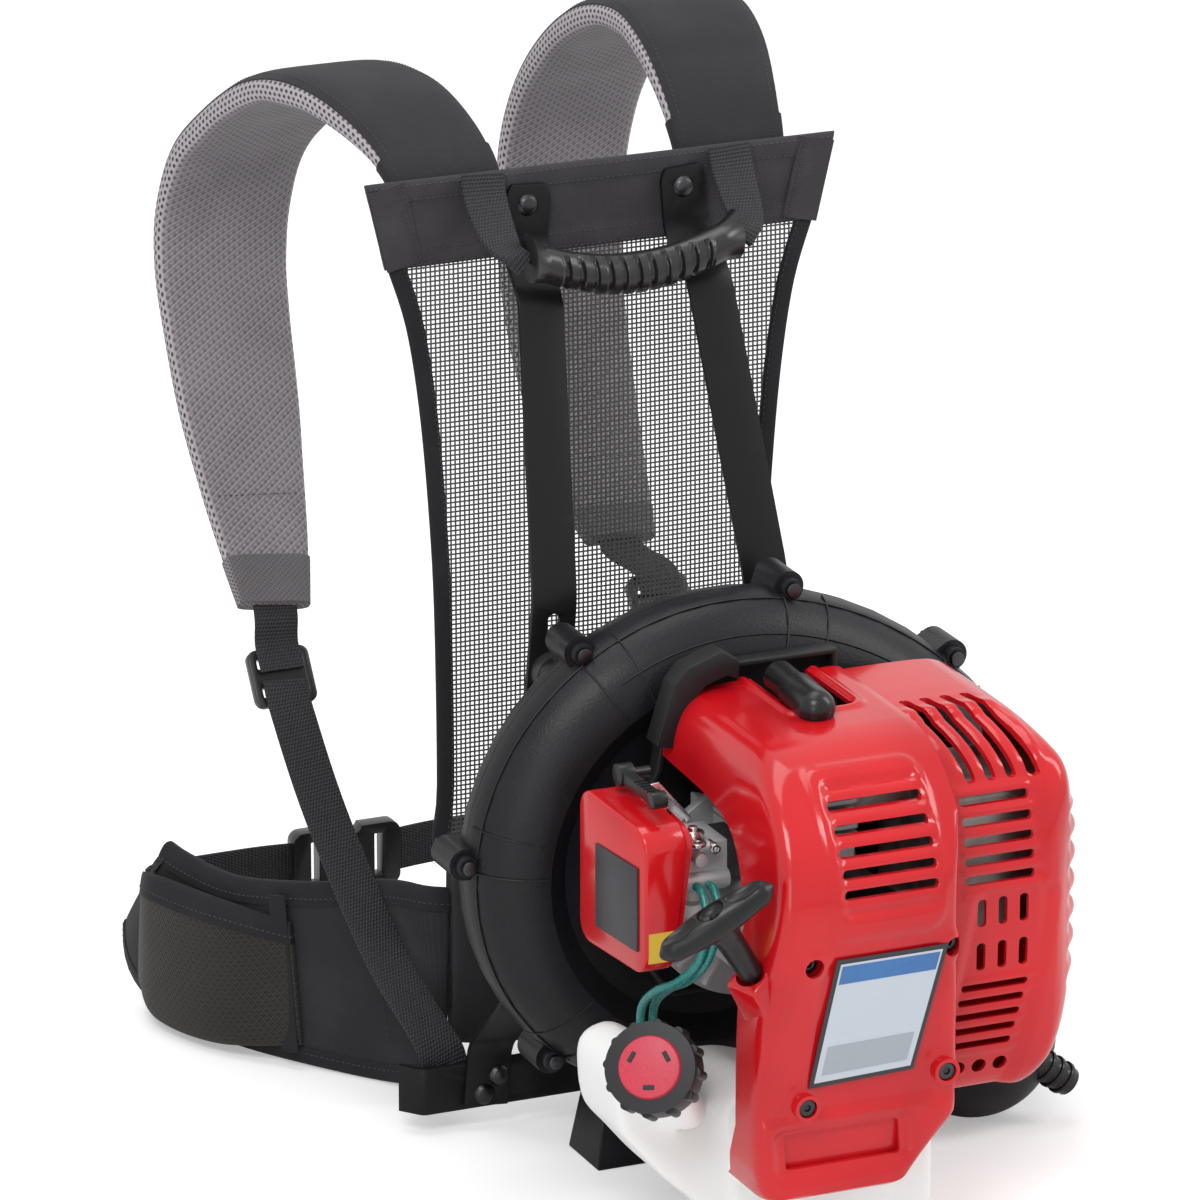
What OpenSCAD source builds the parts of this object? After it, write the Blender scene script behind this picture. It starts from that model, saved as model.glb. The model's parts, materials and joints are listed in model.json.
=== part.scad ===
// Backpack leaf blower: harness on a two-strap steel frame, fan housing and
// two-stroke engine under a moulded cover.
// Datum of the sizes: X to the wearer's right, Y towards the wearer with the
// back panel in Y = 0, Z up from the ground. One shift at the end moves the
// whole machine so that its origin is the middle of its footprint.

/* [Frame] */
// Width of the steel frame straps
strap_w = 25; // [20:1:32]
// Thickness of the steel frame straps
strap_t = 3; // [2:0.5:4]
// Half distance between the top rivets
rivet_x = 44.5; // [38:0.5:52]
// Half distance between the straps at the base
strap_foot_x = 84; // [78:1:88]
// How far the straps stand off the back panel at the fan housing
strap_back = 78; // [70:1:84]
// How far the strap ends stand off the back panel at the base
strap_foot_back = 38.5; // [34:0.5:44]
// Radius of the frame rivets
rivet_r = 4; // [3:0.5:5]
// Half length of the base crossbar
bar_half = 118; // [114:1:122]
// Height of the base crossbar
bar_h = 26; // [20:1:30]
// Height of the lower edge of the base crossbar
bar_z = 12; // [6:1:16]

/* [Back panel] */
// Half width of the top band at its upper edge
band_half = 129; // [120:1:134]
// Height of the top band
band_h = 47; // [40:1:54]
// Thickness of the top band
band_t = 6; // [4:0.5:8]
// Height of the upper edge of the top band
band_top = 519; // [505:1:530]
// Width of the binding round the mesh
binding_w = 8; // [6:0.5:10]
// Thickness of the binding
binding_t = 3; // [2:0.25:4]
// Thickness of the mesh
net_t = 1.2; // [0.8:0.1:2]
// Pitch of the mesh in the plain model
net_pitch = 16; // [14:0.5:20]
// Width of a mesh yarn bundle in the plain model
net_yarn = 4; // [3:0.5:6]

/* [Shoulder straps] */
// How far the shoulder pads reach in front of the back panel
strap_reach = 255; // [225:1:285]
// Width of a shoulder pad at the chest
pad_w = 77; // [66:1:84]
// Thickness of a shoulder pad
pad_t = 19; // [14:1:22]
// Width of the webbing
web_w = 25; // [20:1:30]
// Thickness of the webbing
web_t = 2; // [1.5:0.25:3]
// Length of a strap adjuster
adjuster_l = 32; // [28:1:38]

/* [Hip belt] */
// Height of the hip belt wings
wing_h = 116; // [100:1:120]
// Thickness of the hip belt wings
wing_t = 14; // [10:1:16]
// Thickness of the lumbar pad
lumbar_t = 20; // [14:1:24]

/* [Carry handle] */
// Half length of the carry grip
grip_half = 59; // [52:1:64]
// Radius of the carry grip
grip_r = 11; // [9:0.5:13]
// Number of ribs on the carry grip
grip_ribs = 11; // [7:2:13]

/* [Fan housing] */
// Height of the crankshaft
axis_z = 176; // [172:1:180]
// Distance of the crankshaft from the middle of the harness
axis_x = 4; // [0:1:8]
// How far the parting plane of the housing lies behind the back panel
part_back = 120; // [118:1:124]
// Radius of the housing where the scroll starts
scroll_r = 134; // [128:1:138]
// How much the scroll grows towards the outlet
scroll_grow = 71; // [64:1:74]
// Radius of the scroll section round most of the housing
scroll_tube = 36; // [32:1:38]
// Half depth of the scroll section round most of the housing
scroll_deep = 32; // [29:1:33]
// Wall of the moulded housing
wall = 3; // [2.5:0.25:4]
// Radius of the fan
fan_r = 94; // [84:1:96]
// Number of fan blades
blades = 12; // [8:1:16]
// Radius of the air inlet
inlet_r = 68; // [60:1:72]
// Outer radius of the outlet collar
collar_r = 40; // [38:0.5:42]
// Length of the outlet collar
collar_l = 34; // [28:1:38]
// Radius of a screw lug
lug_r = 5.6; // [5:0.2:7]

/* [Engine] */
// Radius of the crankshaft journals
shaft_r = 6; // [5:0.5:7]
// Radius of the flywheel
flywheel_r = 46; // [40:1:48]
// Radius of the crankcase flange
flange_r = 59; // [56:1:62]
// Radius of the crankcase
case_r = 40; // [36:1:42]
// Width of the cylinder fins
fin_w = 58; // [54:1:60]
// Number of cylinder fins
fins = 7; // [5:1:8]
// Running clearance of a turning fit, on the radius
running = 0.05; // [0.03:0.01:0.1]
// Seat clearance between two pieces at rest
seat = 0.3; // [0.2:0.05:0.5]

/* [Covers] */
// Wall of the moulded engine cover
cover_wall = 2.6; // [2:0.2:3.2]
// Height of a cooling slot
slot_h = 5; // [4:0.5:6]
// Pitch of the cooling slots
slot_pitch = 10; // [9:0.5:11]
// Radius of a cover screw head
screw_r = 4.5; // [4:0.25:5]

/* [Starter] */
// Radius of the starter pulley
pulley_r = 34; // [30:1:36]
// Length of the starter handle bar
handle_l = 80; // [70:1:90]
// Length of the starter handle stem
stem_l = 44; // [38:1:50]

/* [Air filter and fuel] */
// Height of the air filter box
box_h = 90; // [84:1:92]
// Depth of the air filter box
box_d = 69; // [62:1:70]
// Thickness of the air filter cover
box_t = 22; // [20:1:24]
// Radius of the fuel cap
cap_r = 25; // [23:0.5:27]
// Height of the fuel cap
cap_h = 21; // [18:1:23]
// Bore radius of the filler neck
neck_bore = 16; // [14:0.5:17]
// Radius of a fuel line
line_r = 2.3; // [2:0.1:2.6]

/* [Hidden] */
$fn = 48;

// Middle of the footprint in the datum of the sizes
origin = [17, -33, 0];

// ---- shared geometry -------------------------------------------------------

function unit(v) = v / norm(v);
function bend(a, b, c, d, t) =
    0.5 * (2 * b + (c - a) * t + (2 * a - 5 * b + 4 * c - d) * t * t
           + (3 * b - a - 3 * c + d) * t * t * t);
// A smooth run through the points p, with n steps from each to the next
function smooth(p, n) = concat(
    [for (i = [0 : len(p) - 2], k = [0 : n - 1])
        bend(p[max(i - 1, 0)], p[i], p[i + 1], p[min(i + 2, len(p) - 1)], k / n)],
    [p[len(p) - 1]]);
function place(p) = [p[0], p[1], p[2]];
function along(p, i) = unit(place(p[min(i + 1, len(p) - 1)]) - place(p[max(i - 1, 0)]));
function across(d, side) = unit(side - d * (side * d));
function sign_pow(v, e) = sign(v) * pow(abs(v), e);
// Rounded section with half width a along u and half thickness b along v
function soft_ring(c, u, v, a, b, n) = [for (k = [0 : n - 1])
    let (w = 360 * (k + 0.5) / n)
    c + u * a * sign_pow(cos(w), 0.55) + v * b * sign_pow(sin(w), 0.75)];
function flat_ring(c, u, v, a, b) =
    [c + u * a - v * b, c + u * a + v * b, c - u * a + v * b, c - u * a - v * b];

// Solid through a row of rings with the same number of points
module loft(rings) {
    n = len(rings[0]);
    m = len(rings);
    sides = [for (i = [0 : m - 2], j = [0 : n - 1])
        let (a = i * n + j, b = i * n + (j + 1) % n)
        each [[a, a + n, b + n], [a, b + n, b]]];
    polyhedron([for (r = rings, p = r) p],
        concat(sides, [[for (j = [0 : n - 1]) j]],
               [[for (j = [n - 1 : -1 : 0]) (m - 1) * n + j]]));
}
// Padded strip along rows of [x, y, z, width, thickness]
module pad(path, side, n = 14, steps = 2) {
    p = smooth(path, steps);
    loft([for (i = [0 : len(p) - 1])
        let (d = along(p, i), u = across(d, side), v = cross(d, u))
        soft_ring(place(p[i]), u, v, p[i][3] / 2, p[i][4] / 2, n)]);
}
// Webbing along rows of [x, y, z]
module webbing(path, side, w, t, steps = 3) {
    p = smooth(path, steps);
    loft([for (i = [0 : len(p) - 1])
        let (d = along(p, i), u = across(d, side), v = cross(d, u))
        flat_ring(p[i], u, v, w / 2, t / 2)]);
}
// Round tube along rows of [x, y, z]
module hose(path, r, n = 8, steps = 3) {
    p = smooth(path, steps);
    loft([for (i = [0 : len(p) - 1])
        let (d = along(p, i), u = across(d, [0.3, 0.2, 1]), v = cross(d, u))
        [for (k = [0 : n - 1]) p[i] + r * (u * cos(360 * k / n) + v * sin(360 * k / n))]]);
}
// Cylinder along Y from y0 to y1
module rod(x, z, r, y0, y1) {
    translate([x, y1, z]) rotate([90, 0, 0]) cylinder(r = r, h = y1 - y0);
}
// Cylinder along X from x0 to x1
module pin_x(x0, x1, y, z, r) {
    translate([x0, y, z]) rotate([0, 90, 0]) cylinder(r = r, h = x1 - x0);
}
// Extrusion along X of an outline drawn as [y, z]
module along_x(x0, x1) {
    translate([x0, 0, 0]) rotate([90, 0, 90]) linear_extrude(x1 - x0) children();
}
// Extrusion along Y of an outline drawn as [x, z]
module along_y(y0, y1) {
    translate([0, y1, 0]) rotate([90, 0, 0]) linear_extrude(y1 - y0) children();
}
module box(low, high) { translate(low) cube(high - low); }
module at_axis() { translate([axis_x, 0, axis_z]) children(); }

// ---- harness frame ---------------------------------------------------------

// Height of the top rivets
rivet_z = band_top - 19;
strap_lean = (strap_foot_x - rivet_x) / (rivet_z - bar_z);
function strap_x(z) = rivet_x + (rivet_z - z) * strap_lean;
// Height z measured along the leaning strap
function strap_s(z) = rivet_z - (rivet_z - z) / cos(atan(strap_lean));
band_y0 = -4.5;
strap_top_y = band_y0 - strap_t / 2;
strap_line = [[strap_top_y, band_top - 8], [strap_top_y, band_top - band_h + 4],
              [-32, band_top - band_h - 16], [-strap_back, 306], [-strap_back, 84],
              [-strap_foot_back, 46], [-strap_foot_back, bar_z]];
isolator_z = [104, 268];
isolator_r = 11;
isolator_y1 = -strap_back - strap_t / 2;
isolator_y0 = -part_back + scroll_deep;
// Foot rivets, as [offset across the strap, height along it]
foot_rivets = [[1.4, bar_z + 8], [-6.4, bar_z + 18]];
function foot_rivet(p) = [strap_x(p[1]) + p[0] * cos(atan(strap_lean)), p[1] + p[0] * sin(atan(strap_lean))];

// Line [x, y] with every inner corner rounded off from r before it to r after it
function eased(line, r, n = 3) = [line[0], for (i = [1 : len(line) - 2])
    let (a = line[i - 1] - line[i], b = line[i + 1] - line[i],
         p = line[i] + a / norm(a) * r, q = line[i] + b / norm(b) * r)
        for (k = [0 : n]) let (t = k / n)
            (1 - t) * (1 - t) * p + 2 * t * (1 - t) * line[i] + t * t * q,
    line[len(line) - 1]];
function left_of(v) = [-v[1], v[0]] / norm(v);
// Points at distance d to the left of a line
function beside(line, d) = [for (i = [0 : len(line) - 1])
    let (a = left_of(i > 0 ? line[i] - line[i - 1] : line[1] - line[0]),
         b = left_of(i < len(line) - 1 ? line[i + 1] - line[i] : line[i] - line[i - 1]))
        line[i] + d * (a + b) / (1 + a * b)];
// Outline of a bent plate of thickness t about a centre line
module bent(line, t, r = 8) {
    path = eased(line, r);
    back = beside(path, -t / 2);
    polygon(concat(beside(path, t / 2), [for (i = [len(back) - 1 : -1 : 0]) back[i]]));
}
module strap_body() {
    translate([rivet_x, 0, rivet_z]) rotate([0, -atan(strap_lean), 0]) translate([0, 0, -rivet_z])
        difference() {
            along_x(-strap_w / 2, strap_w / 2) bent(strap_line, strap_t);
            // rounded top end
            difference() {
                box([-strap_w, -20, band_top - 8 - strap_w / 2 + 4], [strap_w, 5, band_top]);
                rod(0, band_top - 8 - strap_w / 2 + 4, strap_w / 2, -21, 6);
            }
            rod(0, rivet_z, rivet_r + seat / 3, -20, 5);
            for (p = foot_rivets) rod(p[0], strap_s(p[1]), rivet_r + seat / 3, -60, -20);
            for (z = isolator_z) rod(0, strap_s(z), 3.2, -100, -50);
            // adjusting slot above the fan housing
            along_y(-100, -50) for (k = [-1, 1]) translate([0, 290 + 5.5 * k]) circle(r = 3.25);
            along_y(-100, -50) translate([-3.25, 284.5]) square([6.5, 11]);
        }
}
module frame_strap_right() { color("#1b1c1e") strap_body(); }
module frame_strap_left() { color("#1b1c1e") mirror([1, 0, 0]) strap_body(); }

bar_y1 = -strap_foot_back + strap_t / 2 + strap_t;
module base_crossbar() {
    color("#1b1c1e") difference() {
        translate([0, 0, bar_z]) linear_extrude(bar_h) {
            m = strap_t / 2;
            bent([[-bar_half - 9, bar_y1 + 10], [-bar_half, bar_y1 - m], [bar_half, bar_y1 - m],
                  [bar_half + 9, bar_y1 + 10]], strap_t, 2);
        }
        for (s = [-1, 1], p = foot_rivets)
            rod(s * foot_rivet(p)[0], foot_rivet(p)[1], rivet_r + seat / 3, -60, 0);
    }
}
module rivet(x, z, y0, y1) {
    rod(x, z, rivet_r, y0, y1);
    for (y = [y0, y1]) translate([x, y, z]) intersection() {
        rotate([90, 0, 0]) cylinder(r = rivet_r * 1.5, h = 4, center = true);
        translate([0, y == y0 ? 3.5 : -3.5, 0]) sphere(r = rivet_r * 1.7);
        translate([-10, y == y0 ? -9.99 : 0, -10]) cube([20, 9.99, 20]);
    }
}
module frame_rivets() {
    color("#6d6f72") for (s = [-1, 1]) {
        rivet(s * rivet_x, rivet_z, band_y0 - strap_t - seat / 3, band_y0 + band_t + seat / 3);
        for (p = foot_rivets)
            rivet(s * foot_rivet(p)[0], foot_rivet(p)[1], -strap_foot_back - strap_t / 2 - seat / 3,
                  bar_y1 + seat / 3);
    }
}

// ---- back panel ------------------------------------------------------------

band_low = band_top - band_h;
panel_mid_y = band_y0 + band_t / 2;
// Half width of the hourglass panel, as [height, half width]
panel_low = 132;
panel_line = [[panel_low, 76], [panel_low + 18, 97], [184, 95], [280, 96], [340, 99], [396, 104], [440, 111],
              [band_low, 121]];
function panel_side(cut) = [for (p = panel_line) [p[1] - cut, p[0] == panel_low ? panel_low + cut : p[0]]];
function panel_outline(cut) = concat(panel_side(cut),
    [for (i = [len(panel_line) - 1 : -1 : 0]) let (p = panel_side(cut)[i]) [-p[0], p[1]]]);
function panel_half(z) = lookup(z, panel_line);

module top_band() {
    color("#222225") difference() {
        union() {
            along_y(band_y0, band_y0 + band_t)
                polygon([[-band_half, band_top], [band_half, band_top],
                         [band_half - 6, band_low], [-band_half + 6, band_low]]);
            // stitched tabs of the carry handle loops
            for (s = [-1, 1]) box([s * tab_x - tab_w / 2, band_y0 - tab_t, band_low + 6],
                                  [s * tab_x + tab_w / 2, band_y0, band_top - 2]);
        }
        for (s = [-1, 1]) rod(s * rivet_x, rivet_z, rivet_r + seat / 3, -20, 10);
    }
}
module mesh_binding() {
    color("#161618") along_y(panel_mid_y - binding_t / 2, panel_mid_y + binding_t / 2)
        difference() {
            intersection() {
                polygon(panel_outline(0));
                translate([-200, 0]) square([400, band_low - seat]);
            }
            difference() {
                polygon(panel_outline(binding_w));
                translate([-200, band_low - seat - binding_w]) square([400, 60]);
            }
        }
}
module mesh_panel() {
    inner = binding_w + seat;
    top = band_low - 2 * seat - binding_w;
    color("#3a3c3e") along_y(panel_mid_y - net_t / 2, panel_mid_y + net_t / 2)
        difference() {
            intersection() {
                polygon(panel_outline(inner));
                translate([-200, 0]) square([400, top]);
            }
            for (i = [-6 : 6], k = [0 : 20]) {
                x = i * net_pitch * 0.93;
                z = panel_low + inner + net_yarn + k * net_pitch * 0.93;
                hole = net_pitch - net_yarn;
                if (abs(x) + hole / 2 < panel_half(z) - inner - 2
                    && abs(x) + hole / 2 < panel_half(z + hole) - inner - 2
                    && z + hole < top - 2)
                    translate([x - hole / 2, z]) square([hole, hole - 1]);
            }
        }
}

// ---- hip belt --------------------------------------------------------------

// The pad is crowned, so its middle reaches past the lower edge of the binding
lumbar_crown = 0.7;
lumbar_y = band_y0 + band_t / 2 + binding_t / 2 + seat - lumbar_crown;
module lumbar_pad() {
    mid = lumbar_y + lumbar_t / 2;
    color("#1d1d20") pad([[-84, mid, 92, 110, lumbar_t * 0.5], [-78, mid, 92, 122, lumbar_t * 0.8],
                          [-40, mid, 92, 130, lumbar_t], [0, mid, 92, 132, lumbar_t],
                          [40, mid, 92, 130, lumbar_t], [78, mid, 92, 122, lumbar_t * 0.8],
                          [84, mid, 92, 110, lumbar_t * 0.5]], [0, 0, 1], 14, 1);
}
wing_mid = wing_h / 2 + 1.5;
// Middle line of each wing, as [x, y, z, height, thickness]
wing_left = [[-85 - 4 * seat, 9.4, wing_mid + 8, wing_h * 0.9, 9],
             [-94.5, 14.2, wing_mid + 7.1, wing_h * 0.95, 12], [-109, 47, wing_mid, wing_h, wing_t],
             [-137, 85, wing_mid - 2, wing_h - 4, wing_t], [-161, 127, wing_mid - 2, wing_h - 4, wing_t],
             [-177, 170, wing_mid - 1, wing_h - 2, wing_t], [-183, 196, wing_mid, wing_h * 0.9, wing_t * 0.9],
             [-184, 208, wing_mid, wing_h * 0.7, 7]];
wing_right = [[85 + 4 * seat, 9.4, wing_mid + 8, wing_h * 0.9, 9],
              [93.5, 13.8, wing_mid + 7.1, wing_h * 0.95, 12], [103, 50, wing_mid, wing_h, wing_t],
              [115, 90, wing_mid - 2, wing_h - 4, wing_t], [121, 128, wing_mid - 2, wing_h - 4, wing_t],
              [122, 167, wing_mid - 1, wing_h - 2, wing_t], [119, 194, wing_mid, wing_h * 0.9, wing_t * 0.9],
              [116, 205, wing_mid, wing_h * 0.7, 7]];
module hip_wing_left() { color("#1d1d20") pad(wing_left, [0, 0, 1]); }
module hip_wing_right() { color("#1d1d20") pad(wing_right, [0, 0, 1]); }
// Mesh pocket on the outer face of a wing: side is -1 on the left and 1 on the right
pocket_h = 88;
pocket_t = 9;
module belt_pocket(wing, side) {
    rows = [for (i = [3 : 6])
        let (t = i == 3 || i == 6 ? 3 : pocket_t, d = along(wing, i),
             out = wing[i][4] / 2 + t / 2 + 3 * seat)
        concat(place(wing[i]) + side * out * [d[1], -d[0], 0] + [0, 0, 50 - wing[i][2]],
               [pocket_h - (t == 3 ? 18 : 0), t])];
    color("#2b2b2e") pad(rows, [0, 0, 1], 12, 2);
}
module belt_pocket_left() { belt_pocket(wing_left, -1); }
module belt_pocket_right() { belt_pocket(wing_right, 1); }
waist_z = 66;
buckle_x = -62;
buckle_half = 32;
waist_y = 216;
module waist_webbing() {
    color("#161618") {
        webbing([[-182, 209 + seat, waist_z], [-170, waist_y, waist_z], [-120, waist_y + 2, waist_z],
                 [buckle_x - buckle_half - seat, waist_y, waist_z]], [0, 0, 1], web_w, web_t);
        webbing([[buckle_x + buckle_half + seat, waist_y, waist_z], [0, waist_y + 4, waist_z],
                 [60, waist_y + 4, waist_z], [112, 206 + 2 * seat, waist_z]], [0, 0, 1], web_w, web_t);
    }
}
module waist_buckle() {
    color("#101012") translate([buckle_x, waist_y, waist_z]) difference() {
        along_y(-5, 5) hull() for (x = [-1, 1], z = [-1, 1])
            translate([x * (buckle_half - 6), z * (web_w / 2)]) circle(r = 6, $fn = 24);
        for (s = [-1, 1]) box([s * 19 - 2.5, -6, -web_w / 2], [s * 19 + 2.5, 6, web_w / 2]);
        for (z = [-1, 1]) translate([4, 0, z * (web_w / 2 + 7)]) rotate([90, 0, 0])
            cylinder(r = 5, h = 12, center = true);
    }
}

// ---- shoulder straps -------------------------------------------------------

pad_start_y = band_y0 + band_t + 1;
// A distance in front of the back panel, longer or shorter with the pads
function reach(y) = y * strap_reach / 255;
function reached(rows) = [for (i = [0 : len(rows) - 1]) let (r = rows[i])
    [r[0], i < 2 ? r[1] : reach(r[1]), r[2], r[3], r[4]]];
// Middle line of each pad, as [x, y, z, width, thickness]
pad_left = [[-86, pad_start_y + 3, band_top - 21, 60, 6], [-86, pad_start_y + 6, band_top - 3, 62, 9],
            [-88, 36, 530, 66, pad_t * 0.8], [-92, 80, 539, 72, pad_t], [-97, 125, 538, 75, pad_t],
            [-101, 166, 526, pad_w, pad_t], [-106, 206, 502, pad_w, pad_t],
            [-111, 238, 474, pad_w, pad_t], [-115, 252, 440, pad_w, pad_t],
            [-119, 247, 408, pad_w - 2, pad_t], [-122, 230, 376, pad_w - 5, pad_t],
            [-126, 204, 340, pad_w - 9, pad_t], [-129, 180, 308, pad_w - 17, pad_t * 0.9],
            [-133, 152, 278, pad_w - 27, pad_t * 0.8], [-138, 124, 252, pad_w - 38, 8]];
pad_right = [[77, pad_start_y + 3, band_top - 21, 60, 6], [77, pad_start_y + 6, band_top - 3, 62, 9],
             [79, 28, 538, 66, pad_t * 0.8], [84, 62, 556, 72, pad_t], [88, 102, 563, 75, pad_t],
             [88, 146, 554, pad_w, pad_t], [88, 190, 530, pad_w, pad_t],
             [88, 228, 496, pad_w, pad_t], [87, 249, 458, pad_w, pad_t],
             [86, 255, 416, pad_w - 2, pad_t], [84, 247, 374, pad_w - 5, pad_t],
             [81, 225, 334, pad_w - 9, pad_t], [78, 194, 298, pad_w - 17, pad_t * 0.9],
             [76, 166, 272, pad_w - 27, pad_t * 0.8], [74, 144, 256, pad_w - 38, 8]];
module shoulder_pad_left() { color("#6f6b6d") pad(reached(pad_left), [1, 0, 0]); }
module shoulder_pad_right() { color("#6f6b6d") pad(reached(pad_right), [1, 0, 0]); }

// Ladder-lock adjuster at p, its plate square to the direction d
module adjuster(p, tilt) {
    half = adjuster_l / 2;
    color("#101012") translate(p) rotate([tilt, 0, 0]) difference() {
        along_y(-3, 3) hull() for (x = [-1, 1], z = [-1, 1])
            translate([x * web_w / 2, z * (half - 5)]) circle(r = 5, $fn = 24);
        for (s = [-1, 1]) box([-web_w / 2 - 0.5, -4, s * 8 - 2.8], [web_w / 2 + 0.5, 4, s * 8 + 2.8]);
    }
}
left_lock = [-139, reach(112), 215];
right_lock = [84, reach(110), 228];
left_tilt = -34;
right_tilt = -42;
module adjuster_left() { adjuster(left_lock, left_tilt); }
module adjuster_right() { adjuster(right_lock, right_tilt); }
// Point on the adjuster's middle plane, h up it and w off it
function lock_point(p, tilt, h, w) =
    p + [0, w * cos(tilt) - h * sin(tilt), w * sin(tilt) + h * cos(tilt)];
module upper_webbing_left() {
    color("#161618") webbing([lock_point(left_lock, left_tilt, 3, off_lock),
        lock_point(left_lock, left_tilt, 18, off_lock),
        [-138, reach(122), 246]], [1, 0, 0], web_w, web_t, 2);
}
module upper_webbing_right() {
    color("#161618") webbing([lock_point(right_lock, right_tilt, 3, off_lock),
        lock_point(right_lock, right_tilt, 18, off_lock),
        [74.5, reach(139), 251.4]], [1, 0, 0], web_w, web_t, 2);
}
// Where the lower webbing is stitched to the crossbar
anchor_x = bar_half - web_w / 2 - 2;
anchor_y = bar_y1 + web_t / 2 + seat;
off_lock = -3 - web_t / 2 - 0.5;
module lower_webbing_left() {
    color("#161618") webbing([lock_point(left_lock, left_tilt, -3, off_lock),
        lock_point(left_lock, left_tilt, -20, off_lock),
        [-132, reach(66), 150], [-121, reach(12), 88], [-110, anchor_y + 6, 54],
        [-anchor_x, anchor_y + 0.9, bar_z + bar_h - 2],
        [-anchor_x, anchor_y, bar_z + 4]], [1, 0, 0], web_w, web_t, 2);
}
module lower_webbing_right() {
    color("#161618") webbing([lock_point(right_lock, right_tilt, -3, off_lock),
        lock_point(right_lock, right_tilt, -20, off_lock),
        [106, reach(52), 156], [118, reach(1), 92], [110, anchor_y + 6, 54],
        [anchor_x, anchor_y + 0.9, bar_z + bar_h - 2],
        [anchor_x, anchor_y, bar_z + 4]], [1, 0, 0], web_w, web_t, 2);
}

// ---- carry handle ----------------------------------------------------------

grip_y = -42;
grip_z = band_top - 37;
grip_sag = 15;
function grip_point(x) = [x, grip_y, grip_z - grip_sag * (1 - pow(x / grip_half, 2))];
grip_rib_span = grip_half * 1.25;
// Ribbed tube, its middle lower than its ends
module carry_grip() {
    steps = 3 * (grip_ribs + 1);
    rings = [for (i = [0 : steps])
        let (x = -grip_half + 2 * grip_half * i / steps,
             ribbed = abs(x) < grip_rib_span / 2,
             r = grip_r * (1 - 0.25 * pow(x / grip_half, 2)) - (ribbed && i % 3 == 0 ? 2 : 0))
        [for (k = [0 : 9]) grip_point(x) + r * [0, cos(36 * k), sin(36 * k)]]];
    color("#101012") loft(rings);
}
tab_x = 70;
tab_w = 20;
tab_t = 2;
handle_pivot = [0, band_y0 - tab_t - seat - web_t / 2, band_top - 4];
loop_w = 18;
// Webbing loops from the band down to the ends of the grip
module handle_webbing() {
    drop = [grip_y - handle_pivot[1], grip_z - handle_pivot[2]];
    reach = norm(drop);
    color("#161618") translate(handle_pivot) rotate([atan2(drop[0], -drop[1]), 0, 0])
        for (s = [0, 1]) mirror([s, 0, 0]) along_y(-web_t / 2, web_t / 2) {
            translate([tab_x - loop_w / 2, -reach]) square([loop_w, reach]);
            translate([tab_x, -reach]) circle(r = loop_w / 2);
            translate([grip_half + seat, -reach - 6]) square([tab_x - grip_half, 12]);
        }
}

// ---- fan housing -----------------------------------------------------------

scroll_steps = 44;
function swell(t) = pow(t, 9);
function rim_r(t) = scroll_r + scroll_grow * swell(t);
duct_swell = 9;
function tube_r(t) = scroll_tube + duct_swell * swell(t);
function tube_deep(t) = scroll_deep + (scroll_tube + duct_swell - scroll_deep) * swell(t);
disc_drop = 10;
disc_r = 86;
hub_hole = 40;
arc_steps = 5;
// Half section of the shell as [radius, depth]: outer skin, then inner skin
function half_section(t, hole) =
    let (a = tube_r(t), h = tube_deep(t), c = rim_r(t) - a, flat = scroll_deep - disc_drop)
    concat([for (k = [0 : arc_steps]) let (w = 90 * k / arc_steps) [c + a * cos(w), h * sin(w)]],
           [[disc_r, flat], [hole, flat], [hole, flat - wall], [disc_r - 1, flat - wall]],
           [for (k = [arc_steps : -1 : 0]) let (w = 90 * k / arc_steps)
               [c + (a - wall) * cos(w), (h - wall) * sin(w)]]);
// One half of the scroll: side is -1 for the engine side and 1 for the harness side
module scroll_half(side, hole) {
    gap = side * 0.15;
    rings = [for (i = [0 : scroll_steps])
        let (t = i / scroll_steps, w = -359.8 * t)
        [for (p = half_section(t, hole))
            [axis_x + p[0] * cos(w), -part_back + side * p[1] + gap, axis_z + p[0] * sin(w)]]];
    n = len(rings[0]);
    loft(side < 0 ? rings : [for (r = rings) [for (k = [n - 1 : -1 : 0]) r[k]]]);
}
// Screw lugs as [angle round the shaft, radius beyond the rim]
lugs = [175.5, 121, 71, 31.5, -130];
function lug_r_at(a) = rim_r(1 - (a < 0 ? a + 360 : a) / 360) + 2;
function lug_x(a) = axis_x + lug_r_at(a) * cos(a);
function lug_z(a) = axis_z + lug_r_at(a) * sin(a);
lug_front = -part_back - 12;
lug_back = -part_back + 22;
module lug_bodies(y0, y1) { for (a = lugs) rod(lug_x(a), lug_z(a), lug_r, y0, y1); }
module lug_holes() { for (a = lugs) rod(lug_x(a), lug_z(a), 2.4, lug_front - 1, lug_back + 1); }
duct_r = scroll_tube + duct_swell;
duct_x = axis_x + scroll_r + scroll_grow - duct_r;

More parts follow.
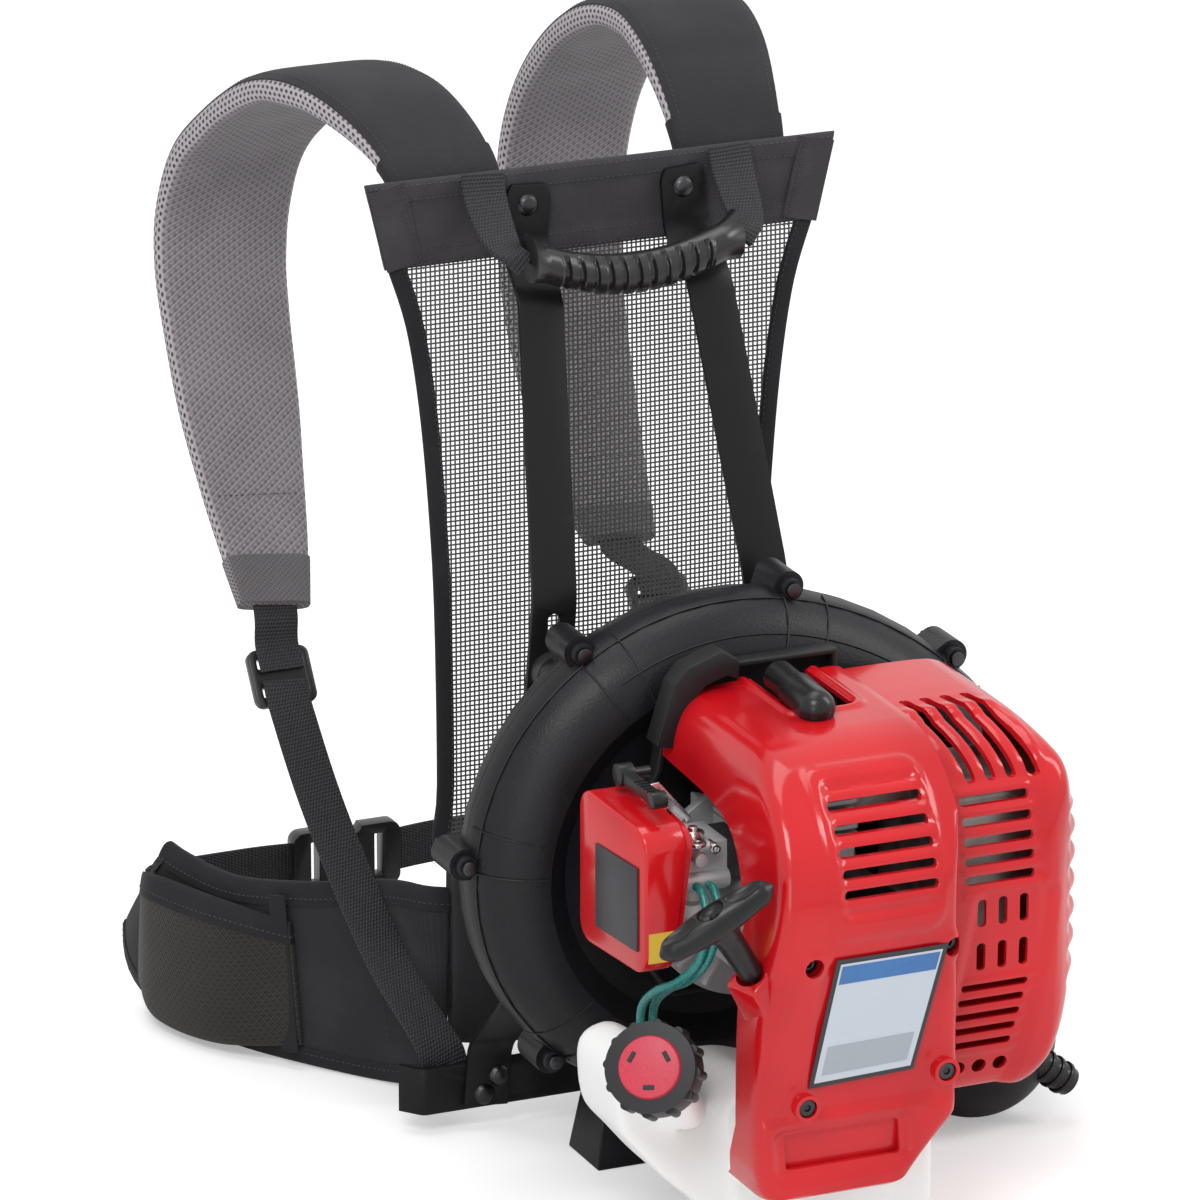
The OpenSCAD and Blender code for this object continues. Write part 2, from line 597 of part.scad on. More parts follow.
module volute_front_shell() {
    color("#1e1e20") difference() {
        union() {
            scroll_half(-1, hub_hole);
            lug_bodies(lug_front, -part_back - 0.15);
        }
        lug_holes();
    }
}
module volute_back_shell() {
    color("#1e1e20") difference() {
        union() {
            scroll_half(1, inlet_r);
            lug_bodies(-part_back + 0.15, lug_back);
            for (s = [-1, 1], z = isolator_z)
                rod(s * strap_x(z), z, isolator_r, isolator_y0 - 8, isolator_y0);
        }
        lug_holes();
        for (s = [-1, 1], z = isolator_z) {
            rod(s * strap_x(z), z, 2.4, isolator_y0 - 9, isolator_y0 + 1);
            rod(s * strap_x(z), z, isolator_r + seat, isolator_y0, isolator_y0 + 8);
        }
    }
}
module housing_screws() {
    color("#4a4b4e") for (a = lugs) {
        rod(lug_x(a), lug_z(a), 2.2, lug_front, lug_back + 2);
        rod(lug_x(a), lug_z(a), 3.8, lug_front - 2.5, lug_front);
        translate([lug_x(a), lug_back + 2, lug_z(a)]) rotate([-90, 0, 0])
            cylinder(r = 4.2, h = 3, $fn = 6);
    }
}
module inlet_grille() {
    y1 = -part_back + scroll_deep - disc_drop;
    color("#1e1e20") at_axis() translate([0, y1 + 3.3, 0]) rotate([90, 0, 0]) {
        difference() {
            cylinder(r = inlet_r + 8, h = 3);
            translate([0, 0, -1]) cylinder(r = inlet_r - 2, h = 5);
        }
        for (r = [14, 30, 46]) difference() {
            cylinder(r = r + 1.5, h = 3);
            translate([0, 0, -1]) cylinder(r = r - 1.5, h = 5);
        }
        for (a = [0 : 45 : 315]) rotate(a) translate([15, -1.5, 0]) cube([inlet_r - 16, 3, 3]);
    }
}
elbow_turn = -20;
elbow_z = duct_r + 0.6;
collar_start = 46;
module elbow_body(r, extra) {
    translate([duct_x, -part_back, elbow_z]) {
        cylinder(r = r, h = axis_z - elbow_z - seat + extra);
        sphere(r = r + 0.6);
        rotate([0, 0, elbow_turn]) rotate([-90, 0, 0]) {
            cylinder(r = r, h = collar_start - extra * wall); // a step of wall thickness joins the collar
            cylinder(r = collar_r + r - duct_r, h = collar_start + collar_l + extra);
        }
    }
}
module outlet_elbow() {
    color("#1e1e20") difference() {
        elbow_body(duct_r, 0);
        elbow_body(duct_r - wall, 1);
        rod(axis_x, axis_z, scroll_r + seat, -200, -60);
    }
}
foot_w = 34;
foot_x = [-36, 72];
foot_y = -part_back + 1;
module housing_feet() {
    color("#1e1e20") for (x = foot_x) difference() {
        hull() {
            translate([x - foot_w / 2, foot_y, 0]) cube([foot_w, 40, 1]);
            translate([x - foot_w / 4, foot_y + 8, 60]) cube([foot_w / 2, 22, 1]);
        }
        rod(axis_x, axis_z, scroll_r + seat, -200, -60);
    }
}
module isolators() {
    color("#19191a") for (s = [-1, 1], z = isolator_z) {
        rod(s * strap_x(z), z, isolator_r, isolator_y0, isolator_y1);
        rod(s * strap_x(z), z, 3, isolator_y1, -strap_back + strap_t / 2);
        rod(s * strap_x(z), z, 6, -strap_back + strap_t / 2, -strap_back + strap_t / 2 + 3);
    }
}

// ---- rotor -----------------------------------------------------------------

fan_y0 = -part_back - 17;
fan_y1 = -part_back + 16;
shaft_y1 = fan_y1 + 2;
shaft_y0 = -262;
function blade(turn) = [for (side = [0, 1], k = [0 : 6])
    let (q = side == 0 ? k : 6 - k, t = q / 6, r = 19 + (fan_r - 20) * t,
         w = turn - 38 * t + (side == 0 ? 0 : 1.4 * 57 / r))
    [r * cos(w), r * sin(w)]];
module fan() {
    color("#2c2d30") difference() {
        union() {
            at_axis() translate([0, fan_y0 + 2, 0]) rotate([90, 0, 0]) cylinder(r = fan_r, h = 2);
            at_axis() along_y(fan_y0, fan_y1) for (i = [0 : blades - 1])
                polygon(blade(360 * i / blades));
            rod(axis_x, axis_z, 21, fan_y0, fan_y1 - 6);
        }
        rod(axis_x, axis_z, shaft_r + running, fan_y0 - 1, fan_y1 + 1);
    }
}
fly_y1 = -161;
fly_y0 = -179;
module crankshaft() {
    color("#a9abad") {
        rod(axis_x, axis_z, shaft_r, shaft_y0, shaft_y1);
        // taper nut that holds the fan
        at_axis() translate([0, fan_y1 - 6, 0]) rotate([-90, 0, 0]) cylinder(r = 9, h = 6, $fn = 6);
    }
}
module flywheel() {
    color("#8f9194") difference() {
        union() {
            rod(axis_x, axis_z, flywheel_r, fly_y0, fly_y0 + 11);
            rod(axis_x, axis_z, 14, fly_y0, fly_y1);
            at_axis() along_y(fly_y0 + 10, fly_y1) for (a = [0 : 30 : 330])
                rotate(a) translate([24, -1.2]) square([flywheel_r - 26, 2.4]);
        }
        rod(axis_x, axis_z, shaft_r + running, fly_y0 - 1, fly_y1 + 1);
    }
}

// ---- engine ----------------------------------------------------------------

case_y1 = -184;
case_y0 = -262;
bearing_r = 14;
cyl_y = -228;
deck_z = axis_z + 42;
module crank_bearings() {
    color("#b9bbbd") for (y = [case_y1 - 9, case_y0 + 1]) difference() {
        rod(axis_x, axis_z, bearing_r, y, y + 8);
        rod(axis_x, axis_z, shaft_r + running, y - 1, y + 9);
    }
}
module crankcase() {
    color("#9a9c9e") difference() {
        union() {
            rod(axis_x, axis_z, flange_r, case_y1 - 6, case_y1);
            rod(axis_x, axis_z, case_r, case_y0, case_y1);
            rod(axis_x, axis_z, 41, case_y0 - 4, case_y0);
            box([axis_x - 26, cyl_y - 28, axis_z], [axis_x + 26, cyl_y + 28, deck_z]);
            // studs that carry the engine on the shroud
            for (a = [45 : 90 : 315])
                rod(axis_x + 54 * cos(a), axis_z + 54 * sin(a), 4, case_y1 - 1, shroud_y0 - seat);
            // cooling ribs on the flange
            at_axis() along_y(case_y1 - 10, case_y1 - 5) for (a = [200 : 20 : 340])
                rotate(a) translate([case_r - 1, -1.2]) square([flange_r - case_r - 1, 2.4]);
        }
        for (y = [case_y1 - 9.2, case_y0 - 5]) rod(axis_x, axis_z, bearing_r + running, y, y + 15);
        rod(axis_x, axis_z, shaft_r + 3, case_y0 - 5, case_y1 + 1);
    }
}
fin_pitch = 7.6;
cyl_top = deck_z + seat + 6 + fins * fin_pitch;
module cylinder_fin(w, d) {
    linear_extrude(2.2) intersection() {
        square([w, d], center = true);
        circle(r = 39);
    }
}
module engine_cylinder() {
    color("#8b8d8f")
    translate([axis_x, cyl_y, deck_z + seat]) difference() {
        union() {
            translate([-28, -28, 0]) cube([56, 56, 6]);
            cylinder(r = 23, h = cyl_top - deck_z - seat - 6);
            for (i = [0 : fins - 1]) translate([0, 0, 8 + i * fin_pitch * 0.9]) cylinder_fin(fin_w, 56);
        }
        translate([14, 6, cyl_top - deck_z - seat - 14]) cylinder(r = 5 + running, h = 20);
    }
}
head_z = cyl_top - 6;
plug_x = axis_x + 14;
plug_y = cyl_y + 6;
module spark_plug() {
    color("#d8d8d4") translate([plug_x, plug_y, 0]) {
        translate([0, 0, head_z - 6]) cylinder(r = 5, h = 6 + 0.1);
        translate([0, 0, head_z]) cylinder(r = 8, h = 5, $fn = 6);
        translate([0, 0, head_z + 4.9]) cylinder(r = 4, h = 10);
    }
}
boot_r = 10;
boot_z = head_z + 5 + boot_r + seat;
module plug_boot() {
    color("#121213") difference() {
        union() {
            translate([plug_x, plug_y + 34, boot_z + 2]) rotate([93, 0, 0]) {
                cylinder(r = boot_r - 1.5, h = 46);
                translate([0, 0, 22]) cylinder(r = boot_r, h = 24);
                translate([0, 0, 46]) sphere(r = boot_r);
            }
            translate([plug_x, plug_y, head_z + 5 + seat]) cylinder(r = 7, h = boot_r);
        }
        translate([plug_x, plug_y, head_z]) cylinder(r = 4 + seat, h = 15 + seat);
    }
}
module ignition_module() {
    z = axis_z + flywheel_r + 0.6;
    color("#202124") difference() {
        union() {
            box([axis_x - 14, fly_y0, z + 5], [axis_x + 14, shroud_y0 - seat, z + 26]);
            for (s = [-1, 1])
                box([axis_x + s * 12 - 4, fly_y0, z + 1.5], [axis_x + s * 12 + 4, fly_y0 + 11, z + 6]);
        }
        rod(axis_x, axis_z, flywheel_r + 0.6, fly_y0 - 1, fly_y1 + 5);
    }
}

// ---- carburettor and air filter --------------------------------------------

carb_x0 = -62;
carb_x1 = -36;
carb_low = 194;
carb_top = 226;
carb_y = -229;
module insulator_block() {
    color("#242426") difference() {
        box([carb_x1 + seat, carb_y - 15, carb_low + 11.5], [axis_x - 28 - seat, carb_y + 15, deck_z + 6]);
        pin_x(carb_x1 - 5, 0, carb_y, 212, 8);
    }
}
throttle_x = -52;
throttle_y = carb_y - 8;
throttle_rest = -15;
module carburetor() {
    color("#a6a8aa") difference() {
        union() {
            box([carb_x0, carb_y - 15, carb_low + 6], [carb_x1, carb_y + 15, carb_top]);
            translate([-49, carb_y, carb_low]) cylinder(r = 13, h = 12);
            pin_x(carb_x0, carb_x1, carb_y - 15, 206, 5);
            pin_x(carb_x0, carb_x1, carb_y + 15, 206, 5);
            // idle screw boss
            rod(-54, 220, 3.4, carb_y - 24, carb_y - 14);
            translate([throttle_x, throttle_y, carb_top - 1]) cylinder(r = 5, h = 3);
        }
        pin_x(carb_x0 - 1, carb_x1 + 1, carb_y, 212, 8);
        translate([-49, carb_y, carb_low - 1]) cylinder(r = 9.5, h = 6);
        translate([throttle_x, throttle_y, carb_top - 8]) cylinder(r = 2.5 + running, h = 20);
    }
}
module throttle_lever() {
    color("#c4c5c7") translate([throttle_x, throttle_y, 0]) rotate(throttle_rest) {
        translate([0, 0, carb_top - 7]) cylinder(r = 2.5, h = 14);
        translate([0, 0, carb_top + 2 + seat]) difference() {
            union() {
                cylinder(r = 6, h = 2);
                translate([-3, -16, 0]) cube([6, 16, 2]);
                translate([0, -16, 0]) cylinder(r = 4.5, h = 2);
            }
            translate([0, -16, -1]) cylinder(r = 1.6, h = 5);
        }
    }
}
module primer_bulb() {
    color("#5d5f4a") translate([-49, carb_y, carb_low]) {
        cylinder(r = 9, h = 1.6);
        intersection() {
            translate([0, 0, 2]) sphere(r = 9);
            translate([-10, -10, -8]) cube([20, 20, 8.01]);
        }
    }
}
filter_x0 = -95.5;
filter_x1 = filter_x0 + box_t;
filter_y0 = -262;
filter_z0 = 166;
module rounded_plate(d, h, r) {
    hull() for (y = [r, d - r], z = [r, h - r]) translate([y, z]) circle(r = r, $fn = 28);
}
choke_y = filter_y0 + box_d - 16;
choke_z = filter_z0 + box_h + 8.5;
module filter_base() {
    color("#1c1c1e") difference() {
        union() {
            translate([filter_x1 + seat, filter_y0 + 2, filter_z0 + 2]) rotate([90, 0, 90])
                linear_extrude(carb_x0 - filter_x1 - 2 * seat) rounded_plate(box_d - 4, box_h - 4, 10);
            box([filter_x1 + seat, choke_y - 8, filter_z0 + box_h - 6],
                [carb_x0 - seat, choke_y + 8, choke_z + 5]);
        }
        pin_x(filter_x1 - 1, carb_x0 + 1, carb_y, 212, 9);
        pin_x(filter_x1 - 1, carb_x0 + 1, choke_y, choke_z, 3 + running);
    }
}
module choke_lever() {
    x1 = filter_x1 - seat;
    color("#141415") difference() {
        union() {
            pin_x(x1 - 1, carb_x0 - 2, choke_y, choke_z, 3);
            pin_x(x1 - 8, x1, choke_y, choke_z, 6);
            box([x1 - 7, choke_y - 42, choke_z - 3], [x1 - 1, choke_y, choke_z + 3]);
            pin_x(x1 - 8, x1, choke_y - 42, choke_z, 4.5);
        }
        for (y = [choke_y - 36 : 4 : choke_y - 20])
            box([x1 - 10, y - 0.6, choke_z + 2.2], [x1 + 1, y + 0.6, choke_z + 9]);
    }
}
module filter_foam() {
    color("#3b3b35") translate([filter_x0 + 6, filter_y0 + 6, filter_z0 + 6]) rotate([90, 0, 90])
        linear_extrude(box_t - 6) rounded_plate(box_d - 12, box_h - 12, 8);
}
module filter_cover() {
    color("#c8102e") translate([filter_x0, filter_y0, filter_z0]) rotate([90, 0, 90]) difference() {
        union() {
            linear_extrude(box_t) rounded_plate(box_d, box_h, 12);
        }
        translate([3, 3, 3]) linear_extrude(box_t) rounded_plate(box_d - 6, box_h - 6, 10);
    }
}

// ---- muffler and covers ----------------------------------------------------

seam_x = 62;
muffler_y0 = -270;
module muffler() {
    color("#7d7a76") {
        translate([seam_x + 6, muffler_y0, 152]) rotate([90, 0, 90]) difference() {
            linear_extrude(72) rounded_plate(66, 94, 12);
            translate([2, 2, 2]) linear_extrude(68) rounded_plate(62, 90, 10);
        }
        box([axis_x + fin_w / 2 + seat, cyl_y - 14, 228], [seam_x + 7, cyl_y + 14, 250]);
        pin_x(seam_x + 77, seam_x + 84, -238, 176, 8);
    }
}
shroud_y1 = -142 - seat;
shroud_y0 = -158;
rim_y0 = -165.6;
// Outline of the shroud behind the covers, as [x, z]
shroud_line = [[-40, 238], [-36, 264], [-20, 287], [4, 291], [seam_x, 291], [seam_x, 112],
               [-32, 112], [-52, 140], [-60, 176], [-54, 212]];
module engine_shroud() {
    color("#17171a") difference() {
        union() {
            along_y(rim_y0, shroud_y0 + 3) polygon(shroud_line);
            rod(axis_x, axis_z, 54, shroud_y0, shroud_y1);
        }
        along_y(rim_y0 - 1, shroud_y0) offset(delta = -3) polygon(shroud_line);
        rod(axis_x, axis_z, 46, shroud_y0 + 3, shroud_y1 + 1);
        rod(axis_x, axis_z, 22, shroud_y0 - 1, shroud_y1 + 1);
    }
}
cover_y1 = rim_y0 - seat;
cover_left = -46;
cover_low = 60;
// Side outline of the engine cover, as [y, z]
module cover_side() {
    polygon([[cover_y1, cover_low], [cover_y1, 284], [-246, 284], [-266, 281], [-284, 274],
             [-300, 262], [-314, 246], [-323, 228], [-328, 208], [-326, 186], [-318, 146],
             [-311, 106], [-315, 84], [-320, cover_low]]);
}
// Front outline of the engine cover, as [x, z]
module cover_front() {
    polygon([[cover_left - 4, cover_low], [cover_left - 6, 120], [cover_left - 3, 160],
             [cover_left + 3, 200], [-38, 240], [-36, 262], [-30, 276], [-18, 284],
             [seam_x + 20, 286], [seam_x + 20, 96], [52, 76], [38, 64], [28, cover_low]]);
}
// Plan of the covers, as [x, -y]: both front corners are rounded
module cover_plan(left, right, front, r, taper) {
    hull() {
        translate([left + r, front - r]) circle(r = r, $fn = 36);
        translate([right - r, front - r - taper]) circle(r = r, $fn = 36);
        translate([left, 100]) square([right - left, 10]);
    }
}
module cover_form(inset) {
    intersection() {
        along_x(-100, seam_x - 0.2 + (inset > 0 ? 5 : 0)) {
            offset(delta = -inset) cover_side();
            if (inset > 0) translate([10, -10]) offset(delta = -inset) cover_side();
            if (inset > 0) translate([10, 0]) offset(delta = -inset) cover_side();
            if (inset > 0) translate([0, -10]) offset(delta = -inset) cover_side();
        }
        along_y(-400, -100) {
            offset(delta = -inset) cover_front();
            if (inset > 0) translate([0, -10]) offset(delta = -inset) cover_front();
        }
        linear_extrude(400) mirror([0, 1]) offset(delta = -inset) difference() {
            cover_plan(cover_left - 6, seam_x + 60, 330, 22, 0);
            polygon([[46, 331], [50, 328.6], [55, 324], [59, 318], [seam_x, 311], [seam_x + 12, 300],
                     [seam_x + 70, 300], [seam_x + 70, 340], [46, 340]]);
        }
    }
}
handle_tilt = 36;
handle_turn = 201;
handle_spin = -30;
handle_hub = [-74, -316, 212];
handle_dir = [sin(handle_tilt) * cos(handle_turn), sin(handle_tilt) * sin(handle_turn), cos(handle_tilt)];
handle_base = handle_hub - stem_l * handle_dir;
module at_handle(p) { translate(p) rotate([0, handle_tilt, handle_turn]) children(); }
screw_at = [[-24, 182], [-24, 104], [54, 182], [54, 112]];
screw_seat = -309;
module centre_slots() {
    for (i = [0 : 4]) box([-8, -400, 215 + i * slot_pitch], [50, -262, 216 + slot_h + i * slot_pitch]);
}
module engine_cover() {
    color("#c8102e") difference() {
        union() {
            difference() {
                cover_form(0);
                cover_form(cover_wall);
            }
            intersection() {
                for (p = screw_at) rod(p[0], p[1], 7, -340, screw_seat);
                cover_form(0);
            }
            // spout that guides the starter rope
            intersection() {
                difference() {
                    at_handle(handle_base) translate([0, 0, -26]) cylinder(r = 11, h = 26 - seat);
                    rod(axis_x, axis_z, drum_r + 1, -400, -200);
                }
                along_y(-400, cover_y1) translate([-120, 0]) square([90, 400]);
            }
        }
        for (p = screw_at) {
            rod(p[0], p[1], screw_r + 1, -340, screw_seat - 5);
            rod(p[0], p[1], 2.4, -340, screw_seat + 1);
        }
        at_handle(handle_base) translate([0, 0, -40]) cylinder(r = 5.2, h = 60);
        at_handle(handle_base) translate([0, 0, -seat]) cylinder(r = 9, h = 40);
        // open left side round the carburettor
        along_x(-110, -12) polygon([[-150, 246], [-190, 245], [-226, 243], [-256, 236], [-276, 212],
            [-286, 184], [-286, 40], [-150, 40]]);
        // opening in the roof for the plug boot
        box([plug_x - 15, -244, 270], [plug_x + 15, -100, 320]);
        centre_slots();
        // window below the plate
        box([-12, -340, 94], [42, -300, 101]);
    }
}
lobe_right = 154;
module lobe_side() {
    polygon([[cover_y1, 76], [cover_y1, 280], [-225, 280], [-250, 274], [-272, 262], [-286, 244],
             [-295, 216], [-297, 180], [-293, 120], [-286, 90], [-272, 76]]);
}
module lobe_front() {
    polygon([[seam_x - 20, 76], [seam_x - 20, 284], [108, 284], [122, 277], [134, 264], [145, 246],
             [151, 226], [lobe_right, 200], [lobe_right, 162], [148, 136], [137, 110], [127, 90], [119, 78],
             [114, 76]]);
}
// Plan of the lobe, as [x, -y]: its front corner sweeps back to the side
module lobe_plan() {
    polygon([[seam_x - 60, 100], [seam_x - 60, 298], [118, 298], [129, 293], [139, 283], [147, 270],
             [152, 254], [lobe_right, 230], [lobe_right, 100]]);
}
module lobe_form(inset) {
    intersection() {
        along_x(seam_x + 0.2 - (inset > 0 ? 5 : 0), 220) {
            offset(delta = -inset) lobe_side();
            if (inset > 0) translate([10, 0]) offset(delta = -inset) lobe_side();
        }
        along_y(-400, -100) offset(delta = -inset) lobe_front();
        linear_extrude(400) mirror([0, 1]) offset(delta = -inset) lobe_plan();
    }
}
module lobe_slots() {
    for (i = [0 : 4]) {
        box([76, -400, 200 + i * slot_pitch], [116, -272, 200 + slot_h + i * slot_pitch]);
        box([68 + i * 1.6, -400, 110 + i * slot_pitch * 0.8],
            [106 + i * 2, -276, 110 + slot_h * 0.8 + i * slot_pitch * 0.8]);
    }
    for (x = [85, 97, 109], z = [153, 177]) box([x - 2.5, -400, z], [x + 2.5, -276, z + 15]);
    for (x = [76, 88, 100]) rod(x, 98, 4, -400, -272);
    for (x = [78, 90, 102]) box([x - 2.6, -284, 256], [x + 2.6, -222, 400]);
    // side fins
    for (i = [0 : 5]) box([lobe_right - 7, -262, 138 + i * 15], [lobe_right + 5, -196, 144 + i * 15]);
}
module muffler_cover() {
    color("#c8102e") difference() {
        lobe_form(0);
        lobe_form(cover_wall);
        lobe_slots();
    }
}
module cover_screws() {
    color("#3a3a3c") for (p = screw_at) {
        rod(p[0], p[1], 2.2, screw_seat - 5, screw_seat + 6);
        difference() {
            rod(p[0], p[1], screw_r, screw_seat - 9, screw_seat - 5);
            at_slot = [p[0], screw_seat - 9, p[1]];
            translate(at_slot) rotate([90, 0, 0]) cylinder(r = 2, h = 4, center = true, $fn = 6);
        }
    }
}

// ---- recoil starter --------------------------------------------------------

drum_r = 42;
drum_y1 = case_y0 - 4 - seat;
drum_y0 = drum_y1 - 34;
pulley_y1 = drum_y1 - 4;
pulley_w = 12;
post_r = 5;
module starter_housing() {
    color("#1a1a1c") difference() {
        union() {
            rod(axis_x, axis_z, drum_r, drum_y0, drum_y1);
        }
        rod(axis_x, axis_z, drum_r - 2.5, drum_y0 + 3, drum_y1 + 1);
        // rope eye
        box([axis_x - drum_r - 2, pulley_y1 - pulley_w, axis_z - 16],
            [axis_x - drum_r + 12, pulley_y1 - 2, axis_z - 6]);
        for (a = [0 : 60 : 300])
            at_axis() along_y(drum_y0 - 1, drum_y0 + 4) rotate(a) translate([26, 0]) circle(r = 5);
    }
    color("#1a1a1c") rod(axis_x, axis_z, post_r, drum_y0 + 2.9, pulley_y1 - 1);
}
module starter_pulley() {
    y0 = pulley_y1 - pulley_w;
    color("#2a2b2e") difference() {
        union() {
            rod(axis_x, axis_z, pulley_r, y0, pulley_y1);
            rod(axis_x, axis_z, pulley_r + 4, y0, y0 + 2);
            rod(axis_x, axis_z, pulley_r + 4, pulley_y1 - 2, pulley_y1);
        }
        rod(axis_x, axis_z, post_r + running, y0 - 1, pulley_y1 + 1);
        for (a = [0 : 60 : 300])
            at_axis() along_y(y0 - 1, pulley_y1 + 1) rotate(a) translate([19, 0]) circle(r = 5);
    }
}
spring_turns = 5;
module recoil_spring() {
    n = spring_turns * 24;
    function coil(k, off) = let (w = 360 * k / 24, r = 10 + 20 * k / n + off) [r * cos(w), r * sin(w)];
    color("#8d9093") at_axis() along_y(drum_y0 + 3 + seat, drum_y0 + 13)
        polygon(concat([for (k = [0 : n]) coil(k, 0)], [for (k = [n : -1 : 0]) coil(k, 1.2)]));
}
module starter_handle() {
    bar_r = 8.5;
    color("#101012") at_handle(handle_base) {
        cylinder(r = 5, h = 2);
        translate([0, 0, -14]) cylinder(r = 2.2, h = 16);
        cylinder(r1 = 6.4, r2 = 8, h = stem_l, $fn = 48);
        translate([0, 0, stem_l]) rotate([0, 0, handle_spin]) hull() {
            for (s = [-1, 1]) translate([s * (handle_l / 2 - bar_r), 0, 2]) scale([1.1, 0.8, 0.9])
                sphere(r = bar_r, $fn = 24);
            translate([0, 0, -2]) scale([1, 1, 0.8]) sphere(r = bar_r + 3, $fn = 24);
        }
    }
}

// ---- fuel tank -------------------------------------------------------------

tank_y0 = -292;
tank_y1 = -196;
cap_tilt = 63;
cap_turn = 232;
cap_dir = [sin(cap_tilt) * cos(cap_turn), sin(cap_tilt) * sin(cap_turn), cos(cap_tilt)];
cap_face = [-99, -290, 128];
neck_top = cap_face - cap_h * cap_dir;
module at_cap(p) { translate(p) rotate([0, cap_tilt, cap_turn]) children(); }
// Rounded block: outline drawn as [x, z], between two values of y
module tank_block(line, y0, y1, inset, r) {
    intersection() {
        along_y(y0 + inset, y1 - inset) offset(r = r - inset, $fn = 32) offset(delta = -r) polygon(line);
        along_x(-120, 80) offset(r = r - inset, $fn = 32) translate([y0 + r, r - 34])
            square([y1 - y0 - 2 * r, 162 - 2 * r]);
    }
}
module tank_main(inset) {
    tank_block([[60, 110], [60, 4], [-30, 4], [-44, 110]], tank_y0, tank_y1, inset, 16);
}
// Lobe below the filler neck
module tank_lobe(inset) {
    tank_block([[-106, 130], [-101, 80], [-40, 14], [8, 14], [8, 104], [-38, 130]],
               tank_y0 + 34, tank_y1 - 6, inset, 22);
}
line_gap = 7;
line_y = -236;
line_x = -80;
grommet_top = 135;
module fuel_tank() {
    color("#e8e8e2") difference() {
        union() {
            tank_main(0);
            tank_lobe(0);
            box([-14, tank_y0 + 30, 0], [40, tank_y1 - 20, 12]);
            // grommets of the fuel lines
            for (k = [0, 1])
                translate([line_x + line_gap * k, line_y, grommet_top - 9]) cylinder(r = 3.4, h = 9);
            at_cap(neck_top) translate([0, 0, -34]) cylinder(r = neck_bore + 3, h = 34 + cap_h - 6);
        }
        tank_main(3);
        tank_lobe(3);
        at_cap(neck_top) translate([0, 0, -37]) cylinder(r = neck_bore, h = 70);
    }
}
module fuel_cap() {
    color("#141415") at_cap(neck_top) difference() {
        union() {
            cylinder(r = cap_r - 1.5, h = cap_h);
            for (a = [0 : 30 : 330])
                rotate(a) translate([cap_r - 2.2, 0, 0]) cylinder(r = 2.6, h = cap_h - 4, $fn = 16);
        }
        translate([0, 0, -1]) cylinder(r = neck_bore + 3 + seat, h = cap_h - 5 + seat);
    }
}
module fuel_lines() {
    color("#2f7f6c") for (k = [0, 1]) let (x = line_x + line_gap * k)
        hose([[x, line_y, grommet_top + seat], [x, line_y - 1, 142], [x + 2, -250, 152],
              [x + 9 - k, -262, 160], [x + 18 - 2 * k, -268, 172], [x + 23 - k, -266, 188],
              [x + 24.5, -261, 199], [x + 24.5, -255, 205], [x + 24.5, carb_y - 20 - seat, 205]], line_r);
}

// ---- the machine -----------------------------------------------------------

module placed() { translate(-origin) children(); }

placed() frame_strap_left();
placed() frame_strap_right();
placed() base_crossbar();
placed() frame_rivets();
placed() top_band();
placed() mesh_panel();
placed() mesh_binding();
placed() lumbar_pad();
placed() hip_wing_left();
placed() hip_wing_right();
placed() belt_pocket_left();
placed() belt_pocket_right();
placed() waist_webbing();
placed() waist_buckle();
placed() shoulder_pad_left();
placed() shoulder_pad_right();
placed() adjuster_left();
placed() adjuster_right();
placed() upper_webbing_left();
placed() upper_webbing_right();
placed() lower_webbing_left();
placed() lower_webbing_right();
placed() carry_grip();
placed() handle_webbing();
placed() volute_front_shell();
placed() volute_back_shell();
placed() housing_screws();
placed() inlet_grille();
placed() outlet_elbow();
placed() housing_feet();
placed() isolators();
placed() fan();
placed() crankshaft();
placed() flywheel();
placed() crank_bearings();
placed() crankcase();
placed() engine_cylinder();
placed() ignition_module();
placed() spark_plug();
placed() plug_boot();
placed() insulator_block();
placed() carburetor();
placed() throttle_lever();
placed() primer_bulb();
placed() choke_lever();
placed() filter_base();
placed() filter_foam();
placed() filter_cover();
placed() muffler();
placed() engine_shroud();
placed() engine_cover();
placed() muffler_cover();
placed() cover_screws();
placed() starter_housing();
placed() starter_pulley();
placed() recoil_spring();
placed() starter_handle();
placed() fuel_tank();
placed() fuel_cap();
placed() fuel_lines();
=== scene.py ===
"""Backpack leaf blower: finishes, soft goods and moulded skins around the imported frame."""
import math

import bmesh
import bpy
import numpy as np
from mathutils import Matrix, Vector
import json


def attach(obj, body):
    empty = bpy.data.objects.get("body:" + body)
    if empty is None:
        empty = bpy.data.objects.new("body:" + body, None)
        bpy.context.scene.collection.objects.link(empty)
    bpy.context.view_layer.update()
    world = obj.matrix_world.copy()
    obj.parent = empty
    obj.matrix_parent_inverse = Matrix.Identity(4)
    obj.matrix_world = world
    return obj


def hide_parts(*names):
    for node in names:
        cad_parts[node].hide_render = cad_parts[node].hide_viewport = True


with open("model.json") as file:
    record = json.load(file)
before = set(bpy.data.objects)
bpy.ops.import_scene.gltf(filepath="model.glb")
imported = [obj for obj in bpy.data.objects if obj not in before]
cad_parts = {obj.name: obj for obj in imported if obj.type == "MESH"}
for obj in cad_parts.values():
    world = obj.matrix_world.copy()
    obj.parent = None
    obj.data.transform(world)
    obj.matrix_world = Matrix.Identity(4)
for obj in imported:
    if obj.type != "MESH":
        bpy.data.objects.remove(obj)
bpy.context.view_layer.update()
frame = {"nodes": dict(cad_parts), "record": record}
NODES = frame["nodes"]
RECORD = frame["record"]
BODY_OF = {node: body for body, nodes in RECORD["behaviour"]["bodies"].items() for node in nodes}
SLOT_OF = {part["node"]: part["material_slot"] for part in RECORD["subparts"]}

